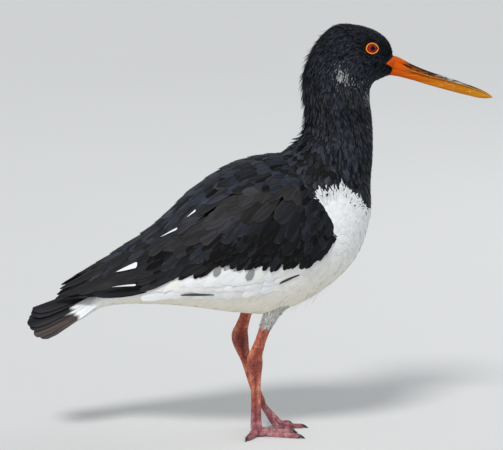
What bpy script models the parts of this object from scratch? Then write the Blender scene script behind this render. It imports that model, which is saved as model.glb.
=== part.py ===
"""A life-size Eurasian oystercatcher standing with its right foot flat and its left foot on its toe tips.

Metres, +Z up. The bill points along +X, the bird's left side is +Y, and the floor is z = 0. The origin is on
the floor, under the middle of the bird's box. Sizes below are in millimetres.
"""

import math

import bpy
import numpy as np

MM = 0.001
GAP = 0.3  # clearance between two nodes that touch
RING_POINTS = 20  # points round a section of the head, neck and trunk
LEG_POINTS = 10
LEFT, RIGHT = 1, -1  # sides of the bird, as the sign of y
SIDES = {"left": LEFT, "right": RIGHT}

# Sections of the head, neck and trunk, from the vent to the bill. Each is a ring whose plane holds the y
# axis: its highest point on the back (x, z), its lowest on the front (x, z), and half its width.
BODY_SECTIONS = {
    "coverts_tip": ((-129, 93), (-129, 84), 8),
    "vent": ((-112, 113), (-111, 94), 18),
    "rump": ((-84, 134), (-82, 96), 28),
    "loin": ((-52, 160), (-50, 94), 37),
    "flank": ((-22, 185), (-19, 90), 42.5),
    "waist": ((2, 199.5), (11, 89.8), 44),
    "shoulder": ((14, 204.5), (43, 104.5), 42),
    "crop": ((22, 210.5), (68.5, 128.5), 38),
    "breast": ((27.5, 215), (79, 158), 33),
    "bib": ((31, 220), (79.5, 184), 29),
    "neck_root": ((32.3, 228), (81, 206), 25.5),
    "neck": ((32, 240), (80.6, 226), 22.5),
    "nape": ((30.3, 254), (78.6, 243), 20.5),
    "occiput": ((32.2, 268), (79, 251.5), 19.5),
    "hind_crown": ((39.5, 284.2), (81.6, 256.2), 18.6),
    "crown": ((53, 296.8), (85, 258), 17.4),
    "forecrown": ((69, 297.2), (88, 259.3), 15.2),
    "forehead": ((83, 292.8), (90.8, 260.4), 12.6),
    "brow": ((91.8, 285.4), (92.6, 260.8), 9.4),
    "bill_seat": ((95.8, 274.6), (94, 261.4), 6.4),
}
TRUNK = ("coverts_tip", "bib")
NECK = ("bib", "occiput")
HEAD = ("occiput", "bill_seat")
ROUNDNESS = 2.15  # 2 is an ellipse, and more is boxier
BELLY_FULLNESS = 0.06  # how much wider the sections are below their middle

# The line of the flank, where the white belly meets the black back under the wings.
FLANK_LINE = ((-130, 102), (80, 163))

# The outer form of the folded wings, section by section along x: top, notional bottom and half width.
WING_SECTIONS = [
    (62, 188, 96, 37),
    (48, 194, 90, 44.5),
    (25, 203, 86, 49),
    (0, 202.5, 84, 52),
    (-25, 194.5, 84, 51),
    (-50, 177, 84, 46),
    (-75, 152.5, 85, 38),
    (-100, 134, 87, 29),
    (-125, 117, 89, 21.5),
    (-148, 102.5, 92, 15.5),
]
# Height of the scapulars' and tertials' lower edge, and of the wing's lower edge, along x.
SCAPULAR_EDGE = [
    (45, 183),
    (14, 184),
    (-12, 183),
    (-30, 172),
    (-48, 158.5),
    (-67, 141),
    (-84, 129),
    (-101, 116),
    (-132, 104),
]
WING_EDGE = [
    (47, 126),
    (32, 113),
    (10, 105),
    (-10, 100),
    (-36, 97.5),
    (-60, 98),
    (-86, 100),
    (-115, 100.5),
    (-146, 98),
]
WING_FRONT = (61, 150)  # the bend of the wing
WING_THICKNESS = 8
TIP_THICKNESS = 1.6
PRIMARIES_START = -99
SCAPULAR_PROUD = 1.2  # the scapulars lie over the wing
SEAM_ANGLE = 0.018  # round the wings' form, between the scapulars' edge and the wing

# The tail: a shallow roof of twelve feathers.
TAIL_ROOT = (-108, 113.5)
TAIL_TIP = (-166.5, 87.5)
TAIL_HALF_WIDTH = (15, 23)  # at the root and near the tip
TAIL_DROP = (10, 15)  # how far its sides hang below its ridge, at the root and near the tip
TAIL_THICKNESS = (2.6, 1.1)
TAIL_FEATHERS = 12
TAIL_SIDES_SHORTER = 9
TAIL_NOTCH = 3.2  # depth of the gaps between the feathers' tips

# The bill: x, culmen, mouth line, lower edge and half width.
BILL_SECTIONS = [
    (92, 275.6, 268.2, 261.2, 6.0),
    (98, 274.3, 266.0, 260.3, 5.6),
    (108, 269.1, 262.8, 257.8, 4.5),
    (120, 264.1, 259.4, 254.2, 3.6),
    (134, 259.5, 256.3, 250.3, 2.8),
    (148, 254.6, 252.4, 246.7, 2.1),
    (157, 251.1, 249.4, 244.7, 1.6),
    (163, 248.2, 247.0, 244.3, 1.1),
    (166.4, 245.7, 245.4, 244.8, 0.6),
]

EYE_CENTRE = (78.8, 280.9)
EYE_OUT = 10.6  # of its centre from the middle plane
EYE_RADIUS = 4.9
EYE_RING_RADIUS = 4.15
EYE_RING_THICKNESS = 0.62
EYE_TILT = math.radians(16)  # how far the eyes look forward
EYE_RISE = math.radians(8)  # and how far they look up

# The legs, as (x, y, z, half depth along x, half width along y).
LEGS = {
    "right": {
        "thigh": [
            (17, -16, 106, 10, 10),
            (10.5, -13.5, 94, 6.4, 6.6),
            (6.6, -11.5, 86, 5.1, 5),
            (3.6, -10, 77, 4.2, 4),
        ],
        "shank": [
            (3.6, -10, 79, 3.6, 3.2),
            (0.2, -9, 69, 3.6, 3.1),
            (-2.8, -8.5, 60, 4.8, 3.8),
            (-3.8, -8.3, 54, 5.7, 4.5),
            (-3.7, -8.2, 50, 5.6, 4.4),
        ],
        "tarsus": [
            (-3.7, -8.2, 50, 5.6, 4.4),
            (-3.5, -8.1, 45, 5.0, 4.0),
            (-3.1, -8, 38, 3.9, 3.2),
            (-2.8, -7.8, 24, 3.7, 3.0),
            (-2.8, -7.6, 11, 4.0, 3.5),
        ],
    },
    "left": {
        "thigh": [
            (2, 18, 104, 12, 11),
            (-4, 18, 95, 8, 7.5),
            (-9, 18, 87.5, 4.7, 4.4),
        ],
        "shank": [
            (-8.6, 18, 90, 3.9, 3.4),
            (-11, 18, 82, 3.8, 3.2),
            (-13.5, 18, 74, 5.0, 3.8),
            (-14.4, 18, 68, 6.1, 4.5),
            (-13.6, 18, 63.5, 5.8, 4.3),
        ],
        "tarsus": [
            (-13.6, 18, 63.5, 5.8, 4.3),
            (-12.2, 18, 58, 5.2, 4.0),
            (-9.6, 18, 50, 4.0, 3.2),
            (-5.4, 18, 35.5, 3.6, 3.0),
            (-1.6, 18, 25.5, 3.9, 3.4),
        ],
    },
}
# Each foot: its joint, the share of each toe that is off the floor, and the toes as (heading, length).
FEET = {
    "right": {
        "joint": (-2.6, -7.5, 4.6),
        "raised": 0.45,
        "toes": {"outer": (-108, 21), "middle": (-19, 33), "inner": (14, 27)},
    },
    "left": {
        "joint": (1.2, 18, 19.5),
        "raised": 0.6,
        "toes": {"outer": (38, 25), "middle": (3, 30), "inner": (-27, 24)},
    },
}
# The pad under the right foot's joint: its rear and front (x, y), half width and height.
HEEL_PAD = ((-6.4, -7.6), (0.5, -7.4), 3.4, 5)
TOE_HALF_WIDTH = (3.4, 2.1)  # at the joint and at the claw
TOE_HALF_HEIGHT = (3.2, 1.9)
CLAW_LENGTH = 6.5
CLAW_RADIUS = 1.35
SOLE_SHARE = 0.62  # height of a toe's centre line over the floor, as a share of its half height

COLOURS = {
    "black_plumage": ((0.012, 0.012, 0.015, 1), 0.7),
    "brown_black_plumage": ((0.026, 0.019, 0.015, 1), 0.7),
    "white_plumage": ((0.80, 0.79, 0.74, 1), 0.8),
    "bill_orange": ((0.86, 0.15, 0.012, 1), 0.35),
    "bill_tip_horn": ((0.70, 0.22, 0.03, 1), 0.35),
    "eye_red": ((0.45, 0.01, 0.008, 1), 0.08),
    "eye_ring_orange": ((0.90, 0.24, 0.01, 1), 0.4),
    "leg_pink": ((0.52, 0.13, 0.10, 1), 0.45),
    "claw_black": ((0.02, 0.018, 0.018, 1), 0.35),
}


def clear_scene():
    for old in list(bpy.data.objects):
        bpy.data.objects.remove(old)


def material(name):
    """One Principled material for each finish, made the first time it is asked for."""
    made = bpy.data.materials.get(name)
    if made:
        return made
    colour, roughness = COLOURS[name]
    made = bpy.data.materials.new(name)
    made.use_nodes = True
    shader = made.node_tree.nodes["Principled BSDF"]
    shader.inputs["Base Color"].default_value = colour
    shader.inputs["Roughness"].default_value = roughness
    made.diffuse_color = colour
    return made


def add_object(name, points, faces, finish, helper=False):
    """A mesh object from points in millimetres."""
    mesh = bpy.data.meshes.new(name)
    mesh.from_pydata((np.asarray(points, float) * MM).tolist(), [], [list(map(int, f)) for f in faces])
    mesh.shade_smooth()
    mesh.set_sharp_from_angle(angle=math.radians(40))
    mesh.materials.append(material(finish))
    made = bpy.data.objects.new(name, mesh)
    bpy.context.scene.collection.objects.link(made)
    if helper:
        made.hide_render = True
        made.display_type = "WIRE"
    return made


def boolean(target, other, operation="DIFFERENCE", solver="EXACT"):
    """Cuts other from target, or joins the two, at once."""
    cut = target.modifiers.new(operation.title(), "BOOLEAN")
    cut.operation = operation
    cut.object = other
    cut.solver = solver
    graph = bpy.context.evaluated_depsgraph_get()
    mesh = bpy.data.meshes.new_from_object(target.evaluated_get(graph))
    target.modifiers.clear()
    target.data = mesh
    return target


def discard(*helpers):
    for helper in helpers:
        bpy.data.objects.remove(helper)


def smooth_through(knots, values, at):
    """A curve through the values at the knots, with the slope at each knot from its two neighbours."""
    knots = np.asarray(knots, float)
    values = np.asarray(values, float)
    slopes = np.gradient(values, knots, axis=0)
    i = np.clip(np.searchsorted(knots, at, side="right") - 1, 0, len(knots) - 2)
    span = knots[i + 1] - knots[i]
    t = (np.asarray(at) - knots[i]) / span
    shape = (...,) + (None,) * (values.ndim - 1)
    t, span = t[shape], span[shape]
    start, end = values[i], values[i + 1]
    leave, arrive = slopes[i] * span, slopes[i + 1] * span
    return (
        start * (2 * t**3 - 3 * t**2 + 1)
        + leave * (t**3 - 2 * t**2 + t)
        + end * (3 * t**2 - 2 * t**3)
        + arrive * (t**3 - t**2)
    )


def table_at(table, x):
    """The other columns of a table whose first column is x, smoothly between its rows."""
    rows = np.array(sorted(table), float)
    return smooth_through(rows[:, 0], rows[:, 1:], np.clip(x, rows[0, 0], rows[-1, 0]))


def loft(rings):
    """Closed solid through rings of equally many points: quads between them and a flat face on each end."""
    rings = np.asarray(rings, float)
    count, around = rings.shape[:2]
    faces = []
    for ring in range(count - 1):
        start, following = ring * around, (ring + 1) * around
        for a in range(around):
            b = (a + 1) % around
            faces.append([start + a, start + b, following + b, following + a])
    faces.append(list(range(around))[::-1])
    faces.append([(count - 1) * around + a for a in range(around)])
    points = rings.reshape(-1, 3)
    return points, faces if signed_volume(points, faces) > 0 else [f[::-1] for f in faces]


def signed_volume(points, faces):
    total = 0.0
    for face in faces:
        a = points[face[0]]
        for b, c in zip(face[1:-1], face[2:]):
            total += np.dot(a, np.cross(points[b], points[c]))
    return total / 6


def body_ring(back, front, half_width, grow=0.0):
    """One section of the body: a superellipse between its back and front points, fuller below its middle."""
    back, front = np.asarray(back, float), np.asarray(front, float)
    middle, half = (back + front) / 2, (back - front) / 2
    length = np.linalg.norm(half)
    along = half / length
    angle = np.linspace(0, 2 * math.pi, RING_POINTS, endpoint=False)
    cosine, sine = np.cos(angle), np.sin(angle)
    up = np.sign(cosine) * np.abs(cosine) ** (2 / ROUNDNESS)
    out = np.sign(sine) * np.abs(sine) ** (2 / ROUNDNESS) * (1 - BELLY_FULLNESS * up)
    up = up * (length + grow)
    out = out * (half_width + grow)
    return np.stack([middle[0] + up * along[0], out, middle[1] + up * along[1]], axis=1)


def body_rings(first, last, per_section, grow=0.0):
    """Rings of the body from one named section to another, smoothly between them."""
    names = list(BODY_SECTIONS)
    keys = np.array([[*back, *front, width] for back, front, width in BODY_SECTIONS.values()], float)
    lo, hi = names.index(first), names.index(last)
    at = np.linspace(lo, hi, (hi - lo) * per_section + 1)
    rows = smooth_through(np.arange(len(keys)), keys, at)
    return np.array([body_ring(row[:2], row[2:4], row[4], grow) for row in rows])


def step_off(rings, distance):
    """The rings with the first one moved along the body, to leave a thin cut."""
    rings = rings.copy()
    way = rings[1].mean(axis=0) - rings[0].mean(axis=0)
    a, b = rings[0][0] - rings[0][RING_POINTS // 2], np.array([0.0, 1.0, 0.0])
    normal = np.cross(a, b)
    normal *= np.sign(normal @ way) / np.linalg.norm(normal)
    rings[0] = rings[0] + normal * distance
    return rings


def box_below(line, finish, above=False):
    """A large block below (or above) a straight line in the side view, for the cut along the flank."""
    (x0, z0), (x1, z1) = line
    slope = (z1 - z0) / (x1 - x0)
    reach, deep = 260, 300
    shift = -GAP / 2 if above else GAP / 2
    far = deep if above else -deep
    corners = [(x, z0 + slope * (x - x0) + shift) for x in (-reach, reach)]
    near_side = [(x, y, z) for y in (-reach, reach) for x, z in corners]
    far_side = [(x, y, z + far) for y in (-reach, reach) for x, z in corners]
    return hull_of(near_side, far_side, finish)


def hull_of(first, second, finish):
    """A six-sided block between two quads given as (0, 1, 3, 2) corner lists."""
    order = (0, 1, 3, 2)
    rings = np.array([[first[i] for i in order], [second[i] for i in order]], float)
    points, faces = loft(rings)
    return add_object("block", points, faces, finish, helper=True)


def eye_frame(side):
    """The eye's centre and its outward direction."""
    out = np.array([math.sin(EYE_TILT), side * math.cos(EYE_TILT) * math.cos(EYE_RISE), math.sin(EYE_RISE)])
    return np.array([EYE_CENTRE[0], side * EYE_OUT, EYE_CENTRE[1]]), out / np.linalg.norm(out)


def ball(name, centre, radius, finish, helper=False, rings=8, around=13, pole=(0, 1, 0)):
    """A closed ball with its poles along a given direction."""
    pole = np.asarray(pole, float)
    side = np.cross(pole, (0, 0, 1.0))
    side /= np.linalg.norm(side)
    other = np.cross(pole, side)
    polar = np.linspace(0.16, math.pi - 0.16, rings)[:, None, None]
    turn = np.linspace(0, 2 * math.pi, around, endpoint=False)[None, :, None]
    outward = np.cos(turn) * side + np.sin(turn) * other
    points = centre + radius * (np.cos(polar) * pole + np.sin(polar) * outward)
    return add_object(name, *loft(points), finish, helper)


def torus(name, centre, axis, major, minor, finish, helper=False, around=18, section=6):
    """A ring about an axis. Its rings of points close on themselves."""
    axis = np.asarray(axis, float)
    side = np.cross(axis, (0, 0, 1.0))
    side /= np.linalg.norm(side)
    other = np.cross(axis, side)
    turn = np.linspace(0, 2 * math.pi, around, endpoint=False)[:, None, None]
    roll = np.linspace(0, 2 * math.pi, section, endpoint=False)[None, :, None]
    outward = np.cos(turn) * side + np.sin(turn) * other
    points = (centre + outward * (major + minor * np.cos(roll)) + axis * minor * np.sin(roll)).reshape(-1, 3)
    faces = []
    for i in range(around):
        start, following = i * section, (i + 1) % around * section
        for a in range(section):
            b = (a + 1) % section
            faces.append([start + a, start + b, following + b, following + a])
    if signed_volume(points, faces) < 0:
        faces = [f[::-1] for f in faces]
    return add_object(name, points, faces, finish, helper)


def make_trunk():
    """Back and belly: the trunk's loft, parted along the flank line and hollowed for the tail's root."""
    tail_room = make_tail("tail_room", grow=GAP)
    for name, finish, above in (("back", "black_plumage", False), ("belly", "white_plumage", True)):
        half = add_object(name, *loft(body_rings(*TRUNK, 2)), finish)
        block = box_below(FLANK_LINE, finish, above)
        boolean(half, block, solver="MANIFOLD")
        boolean(half, tail_room, solver="MANIFOLD")  # the exact solver loses the back here
        discard(block)
    discard(tail_room)


def make_neck_and_head():
    add_object("neck", *loft(step_off(body_rings(*NECK, 2), GAP)), "black_plumage")
    head = add_object("head", *loft(step_off(body_rings(*HEAD, 2), GAP)), "black_plumage")
    for label, side in SIDES.items():
        centre, out = eye_frame(side)
        seat = ball("seat", centre, EYE_RADIUS + GAP, "eye_red", helper=True, pole=out)
        boolean(head, seat)
        reach = math.sqrt((EYE_RADIUS + GAP) ** 2 - (EYE_RING_RADIUS - EYE_RING_THICKNESS / 2) ** 2)
        ring_at = centre + out * reach
        ring_size = EYE_RING_RADIUS, EYE_RING_THICKNESS
        room = torus("room", ring_at, out, ring_size[0], ring_size[1] + 2 * GAP, "eye_red", helper=True)
        boolean(head, room)
        ball(f"eye_{label}", centre, EYE_RADIUS, "eye_red", pole=out)
        ring = torus(f"eye_ring_{label}", ring_at, out, *ring_size, "eye_ring_orange")
        boolean(ring, seat)
        discard(seat, room)


def bill_ring(x, top, bottom, half_width, upper, section=9):
    """Half of the bill's section: a flat at the mouth line and an arch away from it."""
    angle = np.linspace(0, math.pi, section)
    flat, arch = (bottom, top) if upper else (top, bottom)
    y = half_width * np.cos(angle)
    z = flat + (arch - flat) * np.sin(angle) ** 0.8
    return np.stack([np.full(section, x), y, z], axis=1)


def make_bill():
    rows = np.array(BILL_SECTIONS, float)
    x = np.concatenate([np.linspace(rows[0, 0], rows[-2, 0], 11), rows[-1:, 0]])
    culmen, mouth, lower, width = table_at(BILL_SECTIONS, x).T
    face = body_rings(*HEAD, 2, grow=GAP)
    room = add_object("room", *loft(face), "bill_orange", helper=True)
    for name, upper in (("bill_upper", True), ("bill_lower", False)):
        top = culmen if upper else mouth - GAP
        bottom = mouth if upper else lower
        rings = [bill_ring(*row, upper) for row in zip(x, top, bottom, width)]
        half = add_object(name, *loft(rings), "bill_orange")
        boolean(half, room)
    discard(room)


def wing_frame(x):
    """Middle height, half height and half width of the folded wings' outer form at x."""
    top, bottom, width = table_at(WING_SECTIONS, x).T
    return (top + bottom) / 2, (top - bottom) / 2, width


def slab(name, finish, side, x, start, end, thickness, proud=0.0, across=7):
    """A curved plate on the wings' outer form, between two angles from the top at each x."""
    middle, half, width = wing_frame(x)
    share = np.linspace(0, 1, across)[None, :]
    angle = start[:, None] + (end - start)[:, None] * share
    up = np.sign(np.cos(angle)) * np.abs(np.cos(angle)) ** (2 / ROUNDNESS)
    out = np.abs(np.sin(angle)) ** (2 / ROUNDNESS)

    def skin(inset):
        inset = np.broadcast_to(inset, x.shape)[:, None]
        y = side * out * (width[:, None] - inset)
        z = middle[:, None] + up * (half[:, None] - inset)
        return np.stack([np.broadcast_to(x[:, None], y.shape), y, z], axis=2)

    rings = np.concatenate([skin(-proud), skin(np.asarray(thickness) - proud)[:, ::-1]], axis=1)
    return add_object(name, *loft(rings), finish)


def angle_at(x, z):
    """The angle from the top of the wings' outer form at which it has height z."""
    middle, half, _ = wing_frame(x)
    level = np.clip((z - middle) / half, -0.999, 0.999)
    return np.arccos(np.sign(level) * np.abs(level) ** (ROUNDNESS / 2))


def eased(x, start, end):
    """0 at start, 1 at end, along a quarter circle, for a rounded tip or front."""
    share = np.clip((x - start) / (end - start), 0, 1)
    return np.sqrt(1 - (1 - share) ** 2)


def make_body_room():
    """The trunk and neck, larger by the clearance, to cut what meets them."""
    rings = body_rings("coverts_tip", "neck", 2, grow=GAP)
    return add_object("room", *loft(rings), "black_plumage", helper=True)


def make_wings():
    body_room = make_body_room()
    tail_room = make_tail("tail_room", grow=GAP)
    for label, side in SIDES.items():
        parts = (
            ("wing", "black_plumage", np.linspace(WING_FRONT[0], PRIMARIES_START, 17)),
            ("primaries", "black_plumage", np.linspace(PRIMARIES_START - GAP, WING_EDGE[-1][0], 7)),
        )
        for part, finish, x in parts:
            upper = angle_at(x, table_at(SCAPULAR_EDGE, x)[:, 0]) + SEAM_ANGLE
            lower = angle_at(x, table_at(WING_EDGE, x)[:, 0])
            bend = angle_at(x, np.full(x.shape, float(WING_FRONT[1])))
            front = eased(x, WING_FRONT[0] + 0.5, WING_EDGE[0][0] - 14)
            tip = eased(x, WING_EDGE[-1][0] - 0.6, WING_EDGE[-1][0] + 26)
            upper = bend + (upper - bend) * front
            lower = bend + (lower - bend) * front
            upper = lower + (upper - lower) * tip
            share = np.clip((x - WING_EDGE[-1][0]) / 90, 0, 1)
            thick = TIP_THICKNESS + (WING_THICKNESS - TIP_THICKNESS) * share
            plate = slab(f"{part}_{label}", finish, side, x, upper, lower, thick)
            boolean(plate, body_room)
            boolean(plate, tail_room)
        x = np.linspace(SCAPULAR_EDGE[0][0], -143, 18)
        lower = angle_at(x, table_at(SCAPULAR_EDGE, x)[:, 0])
        front = eased(x, SCAPULAR_EDGE[0][0] + 0.5, 10)
        tip = eased(x, -143.6, -112)
        middle, half, width = wing_frame(x)
        ridge = (GAP / width) ** (ROUNDNESS / 2)
        upper = lower + (ridge - lower) * front * tip
        thick = 1.4 + 3.2 * np.clip((x + 143) / 90, 0, 1)
        finish = "brown_black_plumage"
        plate = slab(f"tertials_{label}", finish, side, x, upper, lower, thick, proud=SCAPULAR_PROUD)
        boolean(plate, body_room)
        boolean(plate, tail_room)
    discard(body_room, tail_room)


def make_tail(name="tail", grow=0.0):
    """A curved plate with a shallow ridge down its middle and one rounded lobe for each feather's tip."""
    across = 2 * TAIL_FEATHERS + 1 if not grow else 15
    side = np.linspace(-1, 1, across)
    lobe = np.abs(np.sin(side * TAIL_FEATHERS / 2 * math.pi)) if not grow else 1.0
    reach = 1 - (TAIL_SIDES_SHORTER * side**2 + TAIL_NOTCH * (1 - lobe**0.5)) / (TAIL_ROOT[0] - TAIL_TIP[0])
    along = np.linspace(0, 1, 6)[:, None]

    def skin(sign):
        share = along * reach
        x = TAIL_ROOT[0] + (TAIL_TIP[0] - TAIL_ROOT[0]) * share
        width = TAIL_HALF_WIDTH[0] + (TAIL_HALF_WIDTH[1] - TAIL_HALF_WIDTH[0]) * share**0.8
        drop = TAIL_DROP[0] + (TAIL_DROP[1] - TAIL_DROP[0]) * share
        thick = TAIL_THICKNESS[0] + (TAIL_THICKNESS[1] - TAIL_THICKNESS[0]) * share
        ridge = TAIL_ROOT[1] + (TAIL_TIP[1] - TAIL_ROOT[1]) * share
        z = ridge - drop * np.abs(side) ** 1.7 + sign * (thick / 2 + grow) - thick / 2
        return np.stack([x + grow * (1 - 2 * along), (width + grow) * side, z], axis=2)

    rings = np.concatenate([skin(1), skin(-1)[:, ::-1]], axis=1)
    finish = "black_plumage"
    return add_object(name, *loft(rings), finish, helper=grow > 0)


def tube(rows, around=LEG_POINTS, per_row=2):
    """A leg's length: ellipses square to its line, through rows of (x, y, z, half depth, half width)."""
    rows = np.array(rows, float)
    at = np.linspace(0, len(rows) - 1, (len(rows) - 1) * per_row + 1)
    rows = smooth_through(np.arange(len(rows)), rows, at)
    way = np.gradient(rows[:, :3], axis=0)
    way /= np.linalg.norm(way, axis=1)[:, None]
    wide = np.cross(way, (1.0, 0, 0))
    wide /= np.linalg.norm(wide, axis=1)[:, None]
    deep = np.cross(wide, way)
    angle = np.linspace(0, 2 * math.pi, around, endpoint=False)[None, :, None]
    return (
        rows[:, None, :3]
        + np.cos(angle) * deep[:, None] * rows[:, None, 3:4]
        + np.sin(angle) * wide[:, None] * rows[:, None, 4:5]
    )


def start_later(rows, distance):
    """The rows of a leg's length with its first one moved in along the centre line."""
    first, second = np.array(rows[0], float), np.array(rows[1], float)
    way = second[:3] - first[:3]
    first[:3] += way / np.linalg.norm(way) * distance
    return [first, *rows[1:]]


def toe_rows(foot, heading, length):
    """A toe's centre line from the foot's joint to its claw: down to the floor, then along it."""
    joint = np.array(foot["joint"], float)
    way = np.array([math.cos(math.radians(heading)), math.sin(math.radians(heading))])
    share = np.array([0, 0.16, 0.32, 0.48, 0.66, 0.84, 1])
    half_high = TOE_HALF_HEIGHT[0] + (TOE_HALF_HEIGHT[1] - TOE_HALF_HEIGHT[0]) * share
    half_wide = TOE_HALF_WIDTH[0] + (TOE_HALF_WIDTH[1] - TOE_HALF_WIDTH[0]) * share
    level = half_high * SOLE_SHARE
    fall = np.clip(1 - share / foot["raised"], 0, 1) ** 1.3
    z = level + (joint[2] - level[0]) * fall
    xy = joint[:2] + way * (share * length)[:, None]
    return np.column_stack([xy, z, half_high, half_wide])


def toe_rings(rows, around=8):
    """Sections of a toe, upright and square to its heading, with every point below the floor laid on it."""
    way = rows[-1, :2] - rows[0, :2]
    way /= np.linalg.norm(way)
    side = np.array([-way[1], way[0]])
    angle = np.linspace(0, 2 * math.pi, around, endpoint=False)
    out, up = np.cos(angle), np.sin(angle)
    xy = rows[:, None, :2] + rows[:, 4][:, None, None] * out[None, :, None] * side
    z = rows[:, 2][:, None] + rows[:, 3][:, None] * up[None, :]
    return np.concatenate([xy, np.maximum(z, 0)[..., None]], axis=2)


def claw_rings(rows, around=8):
    """A claw: a cone from the toe's end that curves down to the floor."""
    end = rows[-1]
    way = rows[-1, :2] - rows[0, :2]
    way /= np.linalg.norm(way)
    side = np.array([-way[1], way[0]])
    share = np.linspace(0, 1, 5)
    radius = CLAW_RADIUS * (1 - share) ** 0.75 + 0.28
    bend = share * math.radians(52)
    forward = CLAW_LENGTH * np.sin(bend) / math.radians(52)
    drop = CLAW_LENGTH * (1 - np.cos(bend)) / math.radians(52)
    xy = end[:2] + way * (forward + GAP)[:, None]
    z = end[2] + 0.55 - drop
    angle = np.linspace(0, 2 * math.pi, around, endpoint=False)
    across = np.cos(angle)[None, :, None] * side * radius[:, None, None] * 0.75
    lift = np.sin(angle)[None, :] * radius[:, None]
    lean = np.sin(bend)[:, None] * lift
    points_xy = xy[:, None] + across + lean[..., None] * way
    points_z = z[:, None] + np.cos(bend)[:, None] * lift
    return np.concatenate([points_xy, np.maximum(points_z, 0)[..., None]], axis=2)


def make_leg(label):
    leg, foot = LEGS[label], FEET[label]
    body = make_body_room()
    grown = [(*row[:3], row[3] + GAP, row[4] + GAP) for row in leg["shank"]]
    socket = add_object("socket", *loft(tube(grown)), "leg_pink", helper=True)
    thigh = add_object(f"thigh_{label}", *loft(tube(leg["thigh"])), "white_plumage")
    boolean(thigh, body)
    boolean(thigh, socket)
    shank = add_object(f"shank_{label}", *loft(tube(leg["shank"])), "leg_pink")
    boolean(shank, body)
    discard(body, socket)
    add_object(f"tarsus_{label}", *loft(tube(start_later(leg["tarsus"], GAP))), "leg_pink")
    make_foot(label, leg["tarsus"][-1], foot)


def make_foot(label, ankle, foot):
    """The end of the leg below the tarsus, joined to three toes, and to a pad on the foot that is flat."""
    joint = np.array(foot["joint"], float)
    top = np.array(ankle[:3], float)
    deep, wide = ankle[3:]
    away = (joint - top) / np.linalg.norm(joint - top)
    stub = [
        (*(top + away * GAP), deep, wide),
        (*(top + (joint - top) * 0.6), deep, wide),
        (*(joint + away * 0.5), deep * 0.8, wide * 0.85),
    ]
    sole = add_object(f"foot_{label}", *loft(on_floor(tube(stub))), "leg_pink")
    if label == "right":
        rear, front, half_wide, height = HEEL_PAD
        x = np.array([rear[0], rear[0] + 1.2, front[0] - 1, front[0]])
        y = np.interp(x, [rear[0], front[0]], [rear[1], front[1]])
        size = np.array([0.7, 1, 1, 0.8])
        rows = np.column_stack([x, y, height * 0.4 + 0 * x, height * 0.5 * size, half_wide * size])
        merge(sole, toe_rings(rows))
    for toe, (heading, length) in foot["toes"].items():
        rows = toe_rows(foot, heading, length)
        merge(sole, toe_rings(rows))
        add_object(f"claw_{toe}_{label}", *loft(claw_rings(rows)), "claw_black")


def merge(target, rings):
    """Joins a lofted bar to an object."""
    bar = add_object("bar", *loft(rings), "leg_pink", helper=True)
    boolean(target, bar, "UNION")
    discard(bar)


def on_floor(rings):
    """The rings with every point below the floor laid on it."""
    return np.concatenate([rings[..., :2], np.maximum(rings[..., 2:], 0)], axis=2)


clear_scene()
make_trunk()
make_neck_and_head()
make_bill()
make_wings()
make_tail()
for side_label in SIDES:
    make_leg(side_label)
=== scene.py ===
"""Looks of a life-size Eurasian oystercatcher: one skin, feathers as mesh, bill, eyes, scaled legs and claws.

Lengths are in millimetres until a mesh is made. +X is the way the bill points, +Y the bird's left side and
z = 0 the floor.
"""

import math

import bpy
import numpy as np
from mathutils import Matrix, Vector


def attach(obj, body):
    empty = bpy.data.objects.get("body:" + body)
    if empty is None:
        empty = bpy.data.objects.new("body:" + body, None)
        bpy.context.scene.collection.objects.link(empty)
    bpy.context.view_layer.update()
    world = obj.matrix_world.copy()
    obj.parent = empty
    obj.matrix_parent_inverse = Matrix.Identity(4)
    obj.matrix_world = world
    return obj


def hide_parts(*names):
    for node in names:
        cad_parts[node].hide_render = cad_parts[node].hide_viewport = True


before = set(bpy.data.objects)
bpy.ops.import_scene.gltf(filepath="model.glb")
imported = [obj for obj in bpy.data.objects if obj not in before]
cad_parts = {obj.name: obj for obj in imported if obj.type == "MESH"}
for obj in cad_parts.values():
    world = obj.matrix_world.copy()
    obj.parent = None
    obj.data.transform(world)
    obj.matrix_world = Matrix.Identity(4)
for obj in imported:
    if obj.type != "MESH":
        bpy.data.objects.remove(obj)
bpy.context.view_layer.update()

MM = 0.001
LEFT, RIGHT = 1, -1
SIDES = {"left": LEFT, "right": RIGHT}
BODY = "root"

# Sections of the head, neck and trunk, as in the solids: back (x, z), front (x, z) and half width.
BODY_SECTIONS = {
    "coverts_tip": ((-129, 93), (-129, 84), 8),
    "vent": ((-112, 113), (-111, 94), 18),
    "rump": ((-84, 134), (-82, 96), 28),
    "loin": ((-52, 160), (-50, 94), 37),
    "flank": ((-22, 185), (-19, 90), 42.5),
    "waist": ((2, 199.5), (11, 89.8), 44),
    "shoulder": ((14, 204.5), (43, 104.5), 42),
    "crop": ((22, 210.5), (68.5, 128.5), 38),
    "breast": ((27.5, 215), (79, 158), 33),
    "bib": ((31, 220), (79.5, 184), 29),
    "neck_root": ((32.3, 228), (81, 206), 25.5),
    "neck": ((32, 240), (80.6, 226), 22.5),
    "nape": ((30.3, 254), (78.6, 243), 20.5),
    "occiput": ((32.2, 268), (79, 251.5), 19.5),
    "hind_crown": ((39.5, 284.2), (81.6, 256.2), 18.6),
    "crown": ((53, 296.8), (85, 258), 17.4),
    "forecrown": ((69, 297.2), (88, 259.3), 15.2),
    "forehead": ((83, 292.8), (90.8, 260.4), 12.6),
    "brow": ((91.8, 285.4), (92.6, 260.8), 9.4),
    "bill_seat": ((95.8, 274.6), (94, 261.4), 6.4),
}
SECTION = {name: float(i) for i, name in enumerate(BODY_SECTIONS)}
ROUNDNESS = 2.15
BELLY_FULLNESS = 0.06

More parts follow.
